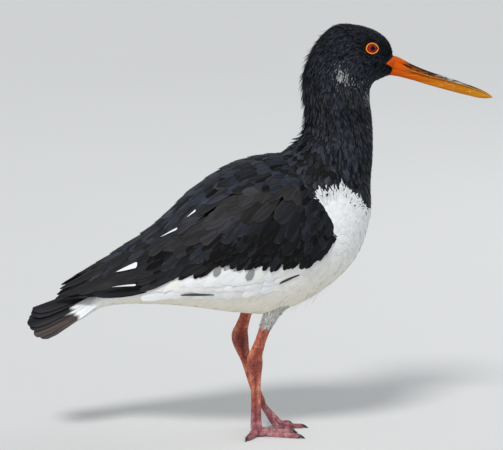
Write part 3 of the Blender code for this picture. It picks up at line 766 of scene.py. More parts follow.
def bill_finish():
    """Horn: orange-red at the base, yellower to the tip, brown in the groove and worn grey on top."""
    f = Finish("bill_horn", roughness=0.42, Specular_IOR_Level=0.09)
    along, top, _ = f.marks("Horn")
    place = f.place()
    streaks = f.noise(f.mapped(place, (60.0, 520.0, 760.0), turn=(0, BILL_FALL, 0)), 1.0, 4.0)
    blotch = f.noise(place, 210.0, 3.0)
    base = f.ramp(
        along + (streaks - 0.5) * 0.16,
        (0.0, (0.58, 0.080, 0.001)),
        (0.20, (0.58, 0.105, 0.001)),
        (0.45, (0.54, 0.150, 0.002)),
        (0.75, (0.50, 0.180, 0.006)),
        (1.0, (0.58, 0.270, 0.020)),
    )
    light = f.smooth(streaks, 0.5, 0.66) * 0.55 * f.smooth(along, 0.05, 0.3)
    base = f.blend(light, base, (0.78, 0.36, 0.05))
    shade = f.smooth(1.0 - streaks, 0.56, 0.70) * 0.5 * f.smooth(along, 0.1, 0.3)
    base = f.blend(shade, base, (0.26, 0.075, 0.008))
    reach = f.smooth(along, 0.12, 0.20) * (1.0 - f.smooth(along, 0.78, 0.97))
    groove = reach * f.smooth(top, 0.30, 0.48)
    base = f.blend(groove * (0.5 + f.smooth(streaks, 0.40, 0.54) * 0.5), base, (0.050, 0.021, 0.006))
    # The nostril slit is painted nearly black: painted shade in its opening.
    slit = f.bell(along, 0.165, 0.075) * f.bell(top, 0.60, 0.12)
    base = f.blend(f.smooth(slit, 0.2, 0.5), base, (0.010, 0.005, 0.004))
    ridge = f.smooth(top, 0.68, 0.82) * f.smooth(along, 0.12, 0.22) * (1.0 - f.smooth(along, 0.90, 1.0))
    base = f.blend(ridge * (0.6 + f.smooth(blotch, 0.40, 0.52) * 0.38), base, (0.016, 0.011, 0.010))
    worn = f.smooth(along, 0.42, 0.50) * (1.0 - f.smooth(along, 0.66, 0.80)) * f.smooth(top, 0.40, 0.56)
    scuffed = f.ramp(streaks, (0.46, (0.035, 0.028, 0.027)), (0.58, (0.56, 0.55, 0.58)))
    base = f.blend(worn * 0.9, base, scuffed)
    # A dark band on the upper half, just above the mouth line, is painted shade where the two halves meet.
    upper_half = f.smooth(top, 0.02, 0.06)
    mouth = upper_half * (1.0 - f.smooth(top, 0.20, 0.34)) * f.smooth(along, 0.08, 0.24)
    base = f.blend(mouth * 0.85, base, (0.085, 0.032, 0.012))
    stripe = upper_half * f.bell(top, 0.42, 0.12) * f.smooth(along, 0.55, 0.70)
    base = f.blend(stripe * 0.6, base, (0.78, 0.50, 0.14))
    chips = f.noise(f.mapped(place, (300.0, 1100.0, 1100.0), turn=(0, BILL_FALL, 0)), 1.0, 2.0)
    flecks = f.smooth(chips, 0.67, 0.72) * f.smooth(along, 0.25, 0.45)
    base = f.blend(flecks * 0.7, base, (0.74, 0.64, 0.55))
    rough = 0.38 + streaks * 0.18 + worn * 0.2
    normal = f.relief(streaks * 0.7 + blotch * 0.3 - flecks * 0.2, 0.0002, 0.5)
    return f.wear(Base_Color=base, Roughness=rough, Normal=normal)


def eye_finish():
    """A dark pupil in a red iris with fine spokes, brighter towards its rim, under a clear coat."""
    f = Finish("eye", roughness=0.5, Coat_Weight=0.28, Coat_Roughness=0.01, Specular_IOR_Level=0.02)
    out, across, upward = f.marks("Iris")
    turn = f.node("Math", {"operation": "ARCTAN2"}, {0: across - 0.5, 1: upward - 0.5})
    spokes = f.sine(turn * 26.0 + f.noise(f.place(), 900.0) * 6.0) * 0.5 + 0.5
    red = f.ramp(
        out,
        (0.0, (0.002, 0.002, 0.002)),
        (0.49, (0.002, 0.002, 0.002)),
        (0.53, (0.10, 0.002, 0.004)),
        (0.64, (0.30, 0.006, 0.010)),
        (0.84, (0.38, 0.009, 0.012)),
        (0.93, (0.12, 0.003, 0.005)),
        (1.0, (0.03, 0.003, 0.003)),
    )
    red = f.blend(spokes * 0.35 * f.smooth(out, 0.42, 0.5), red, (0.30, 0.006, 0.004))
    return f.wear(Base_Color=red)


def eye_ring_finish():
    """Bare orange skin round the eye, finely wrinkled."""
    f = Finish("eye_ring", roughness=0.42)
    place = f.place()
    wrinkles = f.noise(place, 1500.0, 3.0)
    orange = [(0.3, (0.72, 0.20, 0.004)), (0.6, (0.86, 0.32, 0.006)), (0.8, (0.90, 0.42, 0.02))]
    colour = f.ramp(wrinkles, *orange)
    return f.wear(Base_Color=colour, Normal=f.relief(wrinkles, 0.00012, 0.6))


def claw_finish():
    """Dark horn with fine lines along it, some of them browner."""
    f = Finish("claw_horn", roughness=0.33)
    place = f.place()
    lines = f.noise(f.mapped(place, (200.0, 900.0, 900.0)), 1.0, 3.0)
    colour = f.ramp(lines, (0.35, (0.010, 0.009, 0.009)), (0.75, (0.045, 0.033, 0.028)))
    return f.wear(Base_Color=colour, Roughness=0.28 + lines * 0.2, Normal=f.relief(lines, 0.0001, 0.4))


def floor_finish():
    """Plain pale floor, very slightly uneven in tone."""
    f = Finish("pale_floor", roughness=0.85)
    tone = f.noise(f.place(), 3.0, 2.0)
    return f.wear(Base_Color=f.ramp(tone, (0.3, (0.716, 0.716, 0.706)), (0.7, (0.724, 0.724, 0.714))))


# What several pieces share

body = make_body_form()
plume = plumage("plumage")
flight = plumage("flight_feathers", fringe=0.35, barbs=60.0, gloss=0.40)
tail_look = plumage("tail_feathers", fringe=0.8, barbs=40.0, warm=(0.17, 0.125, 0.11))


def eye_frame(side):
    """The eye's centre, its outward direction, and two directions square to that: forward and up."""
    out = np.array([math.sin(EYE_TILT), side * math.cos(EYE_TILT) * math.cos(EYE_RISE), math.sin(EYE_RISE)])
    out /= np.linalg.norm(out)
    forward = np.array([1.0, 0, 0]) - out[0] * out
    forward /= np.linalg.norm(forward)
    up = np.cross(out, forward) * side
    up *= np.sign(up[2])
    return np.array([EYE_CENTRE[0], side * EYE_OUT, EYE_CENTRE[1]]), out, forward, up


def from_eye_axis(points):
    """Distance of points from the nearer eye's axis."""
    best = np.full(points.shape[:-1], 1e3)
    for side in SIDES.values():
        centre, out, _, _ = eye_frame(side)
        to = points - centre
        depth = to @ out
        distance = np.linalg.norm(to - depth[..., None] * out, axis=-1)
        best = np.minimum(best, np.where(depth > 0, distance, 1e3))
    return best


# The skin

# Rows down each leg: x, y, z, half depth and half width.
LEGS = {
    "right": [
        (17, -16, 106, 10, 10), (10.5, -13.5, 94, 6.0, 6.2), (6.6, -11.5, 86, 4.5, 4.4),
        (3.6, -10, 79, 3.7, 3.4), (0.2, -9, 69, 3.5, 3.0), (-2.6, -8.5, 60.5, 4.5, 3.7),
        (-3.7, -8.3, 54.5, 5.6, 4.5), (-3.7, -8.2, 49.5, 5.3, 4.4), (-3.3, -8.1, 44, 4.3, 3.7),
        (-3.1, -8, 37, 3.6, 3.1), (-2.8, -7.8, 24, 3.5, 2.9), (-2.8, -7.6, 12, 3.8, 3.3),
        (-2.6, -7.5, 6.5, 4.2, 4.0), (-2.4, -7.4, 3.8, 3.6, 3.6),
    ],
    "left": [
        (2, 18, 104, 11, 10), (-4, 18, 95, 7, 6.5), (-8.6, 18, 89, 4.3, 3.9), (-11, 18, 82, 3.6, 3.1),
        (-13.2, 18, 75, 4.6, 3.7), (-14.5, 18, 68.5, 6.0, 4.5), (-13.7, 18, 63, 5.6, 4.4),
        (-12.0, 18, 57, 4.5, 3.8), (-9.6, 18, 50, 3.7, 3.1), (-5.4, 18, 35.5, 3.3, 2.9),
        (-2.4, 18, 27.0, 3.3, 3.1), (0.2, 18, 21.4, 3.3, 3.5), (2.2, 18, 17.6, 2.4, 3.0),
    ],
}
# Where each foot's toes meet, how much of each is off the floor, and each toe's heading and length.
FEET = {
    "right": {
        "joint": (-2.6, -7.5, 4.6),
        "raised": 0.45,
        "toes": {"outer": (-108, 21), "middle": (-19, 33), "inner": (14, 27)},
    },
    "left": {
        "joint": (1.2, 18, 19.5),
        "raised": 0.6,
        "toes": {"outer": (38, 25), "middle": (3, 30), "inner": (-27, 24)},
    },
}
TOE_HALF_WIDTH = (3.4, 2.1)
TOE_HALF_HEIGHT = (3.2, 1.9)
SOLE_SHARE = 0.62
# Heights, turned over, between which down gives way to bare skin, and each ankle's height.
BARE_RELIEF = {"right": (-88, -78), "left": (-98, -90)}
BARE_COLOUR = {"right": (-84, -77), "left": (-97, -91)}
ANKLES = {"right": 52, "left": 66}
CLAW_LENGTH = 6.5
CLAW_BEND = 52  # degrees from root to tip
SCUTE = 1.7  # length of a scale plate along the leg


def leg_frame(rows, steps, around):
    """Smooth rows down a leg, two directions square to it, distance along it, and angles round it."""
    rows = np.array(rows, float)
    at = np.linspace(0, len(rows) - 1, steps)
    rows = smooth_through(np.arange(len(rows)), rows, at)
    way = np.gradient(rows[:, :3], axis=0)
    length = np.concatenate([[0], np.cumsum(np.linalg.norm(np.diff(rows[:, :3], axis=0), axis=1))])
    way /= np.linalg.norm(way, axis=1)[:, None]
    wide = np.cross(way, (1.0, 0, 0))
    wide /= np.linalg.norm(wide, axis=1)[:, None]
    deep = np.cross(wide, way)
    angle = np.linspace(0, 2 * math.pi, around, endpoint=False)[None, :]
    return rows, deep, wide, length, angle


def scutes(length, angle, size=SCUTE):
    """Relief of the plates: broad ones across the front, staggered smaller ones round the sides and back."""
    front = step(np.cos(angle), 0.35, 0.7)
    broad = np.abs(np.sin(length / size * math.pi)) ** 0.5
    turns = angle / (2 * math.pi) * 12
    row = length / (size * 0.62)
    shifted = turns + 0.5 * (np.floor(row) % 2)
    small = (np.abs(np.sin(row * math.pi)) * np.abs(np.sin(shifted * math.pi))) ** 0.4
    return front * broad + (1 - front) * small


def leg_surface(label):
    """The thigh, shank and tarsus as one tube, with plates where it is bare, folds, knobs and a groove."""
    rows, deep, wide, length, angle = leg_frame(LEGS[label], 300, 56)
    bare = step(-rows[:, 2], *BARE_RELIEF[label])[:, None]
    ankle = rows[np.argmax(np.where(rows[:, 2] < 75, rows[:, 3], 0)), 2]
    lower = step(-rows[:, 2], -ankle + 4, -ankle + 12)[:, None] * step(rows[:, 2], 5, 12)[:, None]
    relief = 0.34 * (scutes(length[:, None], angle) - 0.6) * bare
    relief = relief - lower * np.abs(np.sin(angle + 0.15)) ** 12
    upper = step(rows[:, 2], ankle + 6, ankle + 12)[:, None] * bare
    relief = relief + 0.45 * upper * np.cos(angle * 4 + 0.6)
    folds = bump(rows[:, 2], ankle + 2, 11)[:, None] * np.abs(np.sin(angle)) ** 2
    relief = relief + 0.30 * folds * np.sin(angle * 7 + rows[:, 2:3] * 0.55)
    knobs = np.maximum(bump(angle, 0.9, 0.45), bump(angle, 2 * math.pi - 0.9, 0.45))
    relief = relief + 0.7 * bump(rows[:, 2], ankle - 1, 4)[:, None] * knobs
    relief = relief + 0.5 * bump(rows[:, 2], ankle + 5, 3)[:, None] * bump(angle, math.pi, 0.6)
    out = np.cos(angle)[..., None] * deep[:, None] * (rows[:, None, 3:4] + relief[..., None])
    out = out + np.sin(angle)[..., None] * wide[:, None] * (rows[:, None, 4:5] + relief[..., None])
    points = rows[:, None, :3] + out
    return np.concatenate([points[..., :2], np.maximum(points[..., 2:], 0.05)], axis=2)


def toe_line(foot, heading, length, steps):
    """A toe's middle line: down to the floor from the foot's joint, then along it."""
    joint = np.array(foot["joint"], float)
    way = np.array([math.cos(math.radians(heading)), math.sin(math.radians(heading))])
    share = np.linspace(0, 1, steps)
    half_high = TOE_HALF_HEIGHT[0] + (TOE_HALF_HEIGHT[1] - TOE_HALF_HEIGHT[0]) * share
    half_wide = TOE_HALF_WIDTH[0] + (TOE_HALF_WIDTH[1] - TOE_HALF_WIDTH[0]) * share
    level = half_high * SOLE_SHARE
    fall = np.clip(1 - share / foot["raised"], 0, 1) ** 1.3
    z = level + (joint[2] - level[0]) * fall
    return np.column_stack([joint[:2] + way * (share * length)[:, None], z, half_high, half_wide]), way


def toe_surface(foot, heading, length):
    """One toe: upright sections along its line, swollen at its joints, plated above and flat on the floor."""
    rows, way = toe_line(foot, heading, length, 90)
    share = np.linspace(0, 1, 90)[:, None]
    side = np.array([-way[1], way[0]])
    angle = np.linspace(0, 2 * math.pi, 28, endpoint=False)[None, :]
    above = step(np.sin(angle), -0.1, 0.5)
    plates = 0.17 * (np.abs(np.sin(share * length / 1.45 * math.pi)) ** 0.5 - 0.6) * above
    swell = 1 + 0.07 * np.cos(share * 3 * 2 * math.pi) - 0.35 * step(share, 0.93, 1.02)
    wide = (rows[:, 4:5] + plates) * swell
    high = (rows[:, 3:4] + plates) * swell
    xy = rows[:, None, :2] + (wide * np.cos(angle))[..., None] * side
    z = rows[:, 2:3] + high * np.sin(angle)
    return np.concatenate([xy, np.maximum(z, 0.0)[..., None]], axis=2)


def web_surface(foot, first, second):
    """The small fold of skin between two toes near the joint: a thin lens under their edges."""
    a, _ = toe_line(foot, *first, 30)
    b, _ = toe_line(foot, *second, 30)
    reach = 12
    t = np.linspace(0, 1, 12)[None, :, None]
    low = a[:reach, None, :3] * (1 - t) + b[:reach, None, :3] * t
    sag = (np.sin(np.linspace(0, 1, 12) * math.pi) * 0.8)[None, :] * np.linspace(0.2, 1, reach)[:, None]
    top = low + np.array([0, 0, 0.5])
    top[..., 2] -= sag
    under = top - np.array([0, 0, 0.9])
    ring = np.concatenate([top, under[:, ::-1]], axis=1)
    ring[..., 2] = np.maximum(ring[..., 2], 0.02)
    return ring


def join(trunk, limb):
    """Joins a limb to the trunk and removes it."""
    union = trunk.modifiers.new("Join", "BOOLEAN")
    union.operation, union.solver, union.object = "UNION", "MANIFOLD", limb
    graph = bpy.context.evaluated_depsgraph_get()
    joined = bpy.data.meshes.new_from_object(trunk.evaluated_get(graph))
    trunk.modifiers.clear()
    trunk.data = joined
    bpy.data.objects.remove(limb)


def mark_skin(mesh):
    """Paints the skin: white by the plumage's edge, bare by height, brown at joints, and darker down the
    sides of the legs, where their grooves run, as painted shade.
    """
    co = np.empty(len(mesh.vertices) * 3, np.float32)
    mesh.vertices.foreach_get("co", co)
    points = co.reshape(-1, 3).astype(float) / MM
    z = points[:, 2]
    right = points[:, 1] < 0
    hollow = np.zeros(len(points))
    for rows in LEGS.values():
        x, y, height, deep, _ = np.array(sorted(rows, key=lambda row: row[2])).T
        away = [points[:, k] - np.interp(z, height, v) for k, v in enumerate((x, y))]
        far = np.hypot(*away)
        on_leg = (far < np.interp(z, height, deep) + 1.5) * step(z, height[0] + 4, height[0] + 9)
        # The sides of each leg, along its groove, are marked for painted shade.
        hollow += on_leg * (np.abs(away[1]) / np.maximum(far, 0.1)) ** 7
    joints = bump(z, np.where(right, ANKLES["right"], ANKLES["left"]), 8)
    bare_from = np.where(right[:, None], BARE_COLOUR["right"], BARE_COLOUR["left"])
    bare = step(-z, *bare_from.T)
    # The third mark: the joints' own brown plus painted shade down the legs' sides.
    brown = np.clip(joints * 0.6 + hollow * 0.7, 0, 1)
    paint(mesh, "Marks", np.stack([whiteness(points), bare, brown], -1))


def make_skin():
    """One closed skin: the body inside its coat by the coat's depth, joined to both legs and their toes."""
    s = np.linspace(0, body.s[-1], 230)
    t = np.linspace(0, 1, 128, endpoint=False)
    point, normal, _, _ = body.at(s[:, None], t[None, :])
    depth = coat_at(s)[0][:, None] + 1.6 * (1 - step(from_eye_axis(point), 3.6, 7.0))
    trunk = add_mesh("skin", *capped_grid(point - normal * depth[..., None]), smooth=180)
    for label in SIDES:
        foot = FEET[label]
        toes = list(foot["toes"].values())
        surfaces = [leg_surface(label)]
        surfaces += [toe_surface(foot, *toe) for toe in toes]
        surfaces += [web_surface(foot, *pair) for pair in (toes[:2], toes[1:])]
        for surface in surfaces:
            join(trunk, add_mesh("limb", *capped_grid(surface), smooth=180))
    mark_skin(trunk.data)
    trunk.data.shade_smooth()
    nodes = ["head", "neck", "back", "belly"]
    nodes += [f"{part}_{label}" for part in ("thigh", "shank", "tarsus", "foot") for label in SIDES]
    finish_piece(trunk, skin_finish(), "black_body", *nodes)


# The coat of the body

COVERED_X = (-112, 34)  # where along x the wing hides the body


def hidden_by_wing(point):
    """True where the folded wing covers the body: inside the wings' form and away from its open edges."""
    x, y, z = np.moveaxis(point, -1, 0)
    middle, half, width = wing_frame(x)
    inside = np.abs((z - middle) / half) ** ROUNDNESS + np.abs(y / width) ** ROUNDNESS < 0.94
    return inside & (z > edge_at(WING_EDGE, x) + 9) & (x < COVERED_X[1]) & (x > COVERED_X[0])


def make_body_coat():
    """Feathers of the head, neck, breast, belly and mantle, in four pieces by where their roots are."""
    s, t = spread(body, coat_spacing, (0.15, SECTION["bill_seat"] - 0.02))
    point, normal, per_s, _ = body.at(s, t)
    keep = (from_eye_axis(point) > EYE_RADIUS) & ~hidden_by_wing(point) & ~gape(point)
    s, t, point, normal, per_s = (a[keep] for a in (s, t, point, normal, per_s))
    depth, length, width, _ = coat_at(s)
    count = len(s)
    side = np.where(t < 0.5, 1.0, -1.0)
    tip = body.at(s - 0.7 * length / per_s, t)[0]
    white = (whiteness(tip) > 0.5) * 1.0
    on_neck = step(s, SECTION["bib"], SECTION["nape"])
    heading = rng.normal(0, 0.13, count)
    heading = heading + side * 0.12 * on_neck * (1 - step(s, SECTION["crown"], SECTION["forehead"]))
    heading = heading * (1 - 0.5 * white)
    near_eye = 1 - step(from_eye_axis(point), 5.0, 9.0)
    pale = collar(point)
    speck = (pale > rng.uniform(0, 1, count)) & (white < 0.5)
    length = length * rng.uniform(0.8, 1.25, count) * (1 - 0.35 * near_eye) * np.where(speck, 0.6, 1.0)
    nape = bump(s, SECTION["nape"] - 0.6, 2.0) * np.clip(1 - np.abs((t + 0.5) % 1 - 0.5) / 0.16, 0, 1)
    tuft = nape * 0.8 > rng.uniform(0, 1, count)
    length = np.where(tuft, length * 1.5, length)
    ds, dt = run_of(body, s, t, heading, length)
    ds = np.maximum(ds, -1.6)
    light = np.where(speck, rng.uniform(0.12, 0.30 + 0.5 * pale, count), white)
    # White feathers that face down, from near the vent forward, get a cream tint: painted warm bounce light
    # from the floor.
    under = step(-normal[:, 2], 0.0, 0.9) * step(point[:, 0], -112, -80)
    brown = np.where(white > 0.5, 0.04 + 0.8 * under, 0.12 + 0.25 * wobble(point, 12, 2)) * ~speck
    face = step(s, SECTION["nape"], SECTION["hind_crown"])
    # On black feathers the green sets a painted bluish sheen, varying at random and in patches, more on the
    # face. A few feathers get a painted highlight on top and stand a little higher.
    tone = rng.normal(0.28, 0.34 + 0.12 * face, count)
    tone = tone + 0.22 * wobble(point, 16, 4) + 0.08 * wobble(point, 3.5, 2)
    highlit = rng.uniform(0, 1, count) < 0.14 + 0.12 * face
    tone = np.where(white > 0.5, rng.normal(0.85, 0.06, count), tone + highlit * 0.6 + speck * 0.5)
    marks = np.clip(np.stack([light, tone, brown], -1), 0, 1)
    lift = 0.1 + 0.25 * rng.uniform(0, 1, count) * step(width, 1.0, 3) + highlit * 0.25
    lift = np.where(white > 0.5, 0.05 + 0.08 * rng.uniform(0, 1, count), lift)
    lift = lift + tuft * 3.8 * rng.uniform(0.2, 1, count) ** 2
    home = np.stack([s / body.s[-1], t], -1)
    low = np.where(white > 0.5, -0.8, -depth - 0.3)
    pieces = {
        "coat_face": (LOCK, s >= SECTION["hind_crown"]),
        "coat_nape": (LOCK, (s < SECTION["hind_crown"]) & (s >= SECTION["neck_root"] - 0.5)),
        "coat_breast": (SOFT, (s < SECTION["neck_root"] - 0.5) & (white < 0.5)),
        "coat_belly": (SOFT, (s < SECTION["neck_root"] - 0.5) & (white > 0.5)),
    }
    for name, (cut, chosen) in pieces.items():
        wide = width * rng.uniform(0.8, 1.2, count) * np.where(tuft, 0.75, 1.0)
        pick = [v[chosen] for v in (s, t, ds, dt, wide, low, lift)]
        piece = grow(name, body, cut, *pick, marks[chosen], home=home[chosen])
        finish_piece(piece, plume, "white_body" if name == "coat_belly" else "black_body")


SPUR_MIDDLE = (60, 163)


def make_spur():
    """Small pointed white feathers that fan out over the black, along the upper edge of the white breast.

    Each points away from SPUR_MIDDLE in side view. Its run (dx, dz) there gives its run (ds, dt) on the body,
    from dx = ds x_s + dt x_t and dz = ds z_s + dt z_t.
    """
    s, t = spread(body, 1.25, (SECTION["breast"] - 1.0, SECTION["neck"]))
    point, _, per_s, per_t = body.at(s, t)
    x, z = point[:, 0], point[:, 2]
    below = edge_at(WHITE_EDGE, x) + 1.2 * wobble(point, 7.0, 1.0) - z
    near = (below > 1.0) & (below < 8.5) & (x > 37) & (x < 79)
    s, t, x, z, per_s, per_t = (a[near] for a in (s, t, x, z, per_s, per_t))
    count = len(s)
    small = 0.01
    here = body.at(s, t)[0]
    ahead = (body.at(s + small, t)[0] - here) / small
    round_it = (body.at(s, t + small / 8)[0] - here) / (small / 8)
    way = np.arctan2(z - SPUR_MIDDLE[1], x - SPUR_MIDDLE[0]) + rng.normal(0, 0.25, count)
    front = step(x, 58, 78)
    long = rng.uniform(4.5, 7.5, count) * (1 - 0.45 * front)
    dx, dz = np.cos(way) * long, np.sin(way) * long
    area = ahead[:, 0] * round_it[:, 2] - ahead[:, 2] * round_it[:, 0]
    least = 40
    area = np.where(np.abs(area) < least, least * np.sign(area), area)
    ds = (dx * round_it[:, 2] - dz * round_it[:, 0]) / area
    dt = (dz * ahead[:, 0] - dx * ahead[:, 2]) / area
    stretch = np.hypot(ds * per_s, dt * per_t) / long
    ds, dt = ds / np.maximum(stretch, 1), dt / np.maximum(stretch, 1)
    marks = row_marks(count, 1, 0.85, 0.02, 0.08)
    marks[:, 0] = 1.0
    lift = rng.uniform(0.7, 1.7, count) * (1 - 0.5 * front)
    piece = grow("spur_tufts", body, LOCK, s, t, ds, dt, rng.uniform(1.3, 2.3, count), -0.7, lift, marks)
    finish_piece(piece, plume, "white_body")


def make_gape(label):
    """The bare orange corner of the mouth: a thin wedge on the face from a point to the bill's base.

    Along its share from 0 to 1 its upper edge rises from GAPE_HEIGHT and its lower edge falls from it.
    """
    s = np.linspace(GAPE_START, SECTION["bill_seat"] + 0.05, 30)
    turns = np.linspace(0.0, 0.48, 240)
    ring = body.at(s[:, None], turns[None, :])[0]
    share = (s - s[0]) / (s[-1] - s[0])
    above, below = GAPE_HEIGHT + 0.1 + 4.9 * share**0.8, GAPE_HEIGHT - 3.2 * share
    edges = [[np.interp(-z, -row, turns) for z, row in zip(edge, ring[..., 2])] for edge in (above, below)]
    top, foot = np.array(edges)
    across = np.linspace(0, 1, 15)[None, :]
    t = top[:, None] * (1 - across) + foot[:, None] * across
    point, normal, _, _ = body.at(s[:, None], t)
    raised = 0.50 * np.sin(across * math.pi) ** 0.5 * step(share, 0.0, 0.3)[:, None] + 0.05
    rings = np.concatenate([point + normal * raised[..., None], (point - normal * 1.0)[:, ::-1]], axis=1)
    points, quads, tris = capped_grid(rings * (1, SIDES[label], 1))
    horn = np.tile((0.0, 0.3, 0.5), (len(points), 1))
    made = add_mesh("gape_" + label, points, quads, tris, colours={"Horn": horn}, smooth=60)
    finish_piece(made, horn_finish, "bill_orange", "bill_upper")


def make_wisps():
    """Fine loose feathers over the right thigh, and a few that hang from the belly in front of it."""
    ring = leg_surface("right")
    ring = np.concatenate([ring, ring[:, :1]], axis=1)
    form = Form(np.arange(300.0), np.linspace(0, 1, 57), ring, wraps=True)
    s, t = spread(form, 1.2, (4, 60))
    count = len(s)
    long = rng.uniform(5, 9.5, count) * (1 - 0.35 * s / 60)
    way = rng.normal(0, 0.22, count)
    marks = row_marks(count, 1, 0.4, 0.35, 0.25)
    marks[:, 0] = np.clip(rng.normal(0.75, 0.25, count), 0.15, 1)
    lift = rng.uniform(0.2, 1.4, count)
    run = run_of(form, s, t, way, long, ahead=1)
    piece = grow("thigh_wisps", form, LOCK, s, t, *run, 0.9, -0.3, lift, marks)
    finish_piece(piece, plume, "white_body")

    count = 46
    s = rng.uniform(SECTION["waist"] - 0.1, SECTION["shoulder"] + 0.55, count)
    t = 0.5 + rng.normal(0.03, 0.055, count)
    long = rng.uniform(7, 12, count)
    run = run_of(body, s, t, rng.normal(0, 0.35, count), long)
    marks = row_marks(count, 1, 0.8, 0.5, 0.1)
    piece = grow("belly_wisps", body, LOCK, s, t, *run, 0.55, 0.0, rng.uniform(2.0, 7.0, count), marks)
    finish_piece(piece, plume, "white_body")


def gape(point):
    """True where the bare corner of the mouth shows between the feathers."""
    x, z = point[..., 0], point[..., 2]
    past = x - 90.0
    return (past > 0) & (z < GAPE_HEIGHT + 0.1 + 1.25 * past) & (z > GAPE_HEIGHT - 0.6 * past)


# The folded wings

# Edges in side view, as (x, z): of the scapulars, of the folded wing below, and of its black coverts.
SCAPULAR_EDGE = [
    (62, 176), (45, 183), (14, 186), (-12, 186), (-30, 175), (-47, 165), (-57, 155), (-71, 144),
    (-86, 134), (-101, 124), (-132, 109),
]
WING_EDGE = [
    (62, 150), (47, 128), (32, 117), (10, 110), (-10, 106), (-36, 104), (-60, 104), (-86, 104),
    (-115, 103), (-146, 99),
]
BLACK_EDGE = [
    (55, 158), (54, 149), (49, 142), (41, 133), (32, 126), (21, 127), (8, 125), (-4, 128),
    (-14, 126), (-26, 129), (-33, 129), (-38, 126), (-45, 119), (-50, 122), (-54, 122), (-58, 119),
    (-71, 117), (-78, 113), (-86, 109),
]
SHELL_DEPTHS = (3.6, 6.5)  # the outer and inner sides of a wing's shell, under its form


def along_path(path, count, ease=0.0):
    """Points evenly along a path of (x, z), each moved by up to the ease."""
    path = np.array(path, float)
    run = np.concatenate([[0], np.cumsum(np.linalg.norm(np.diff(path, axis=0), axis=1))])
    at = np.linspace(0, run[-1], count) + rng.uniform(-ease, ease, count)
    return np.stack([np.interp(at, run, path[:, 0]), np.interp(at, run, path[:, 1])], -1)


def laid(roots, tips):
    """Root and run on the wing's form of feathers whose roots and tips lie at these places (x, z)."""
    root_t, tip_t = wing_angle(*roots.T), wing_angle(*tips.T)
    return roots[:, 0], root_t, tips[:, 0] - roots[:, 0], tip_t - root_t


def row_marks(count, white, tone, brown, spread_by=0.17):
    """Marks for a row of feathers: its white, tone and brown, each feather a little different."""
    marks = np.stack([np.full(count, float(v)) for v in (white, tone, brown)], -1)
    marks[:, 1:] += rng.normal(0, spread_by, (count, 2))
    return np.clip(marks, 0, 1)


def add_row(rows, cut, path, count, heading, length, width, low, high, marks, ease=1.0, roll=0.0, loose=3.0):
    """Adds one row of feathers with their tips on a path.

    Headings, in degrees down from straight back, lengths and widths run evenly through those given.
    """
    tips = along_path(path, count, ease)
    share = np.linspace(0, 1, count)
    way, long, wide = (
        np.interp(share, np.linspace(0, 1, np.size(given)), np.atleast_1d(given))
        for given in (heading, length, width)
    )
    way = np.radians(way + rng.normal(0, loose, count))
    long = long * rng.uniform(0.88, 1.12, count)
    wide = wide * rng.uniform(0.85, 1.15, count)
    low, high = low + rng.normal(0, 0.08, count), high + rng.normal(0, 0.12, count)
    bend = rng.normal(0, 0.02, count)
    roots = tips + np.stack([np.cos(way), np.sin(way)], -1) * long[:, None]
    roll, marks = np.full(count, roll), row_marks(count, *marks)
    rows.setdefault(cut, []).append((*laid(roots, tips), wide, low, high, roll, bend, marks))


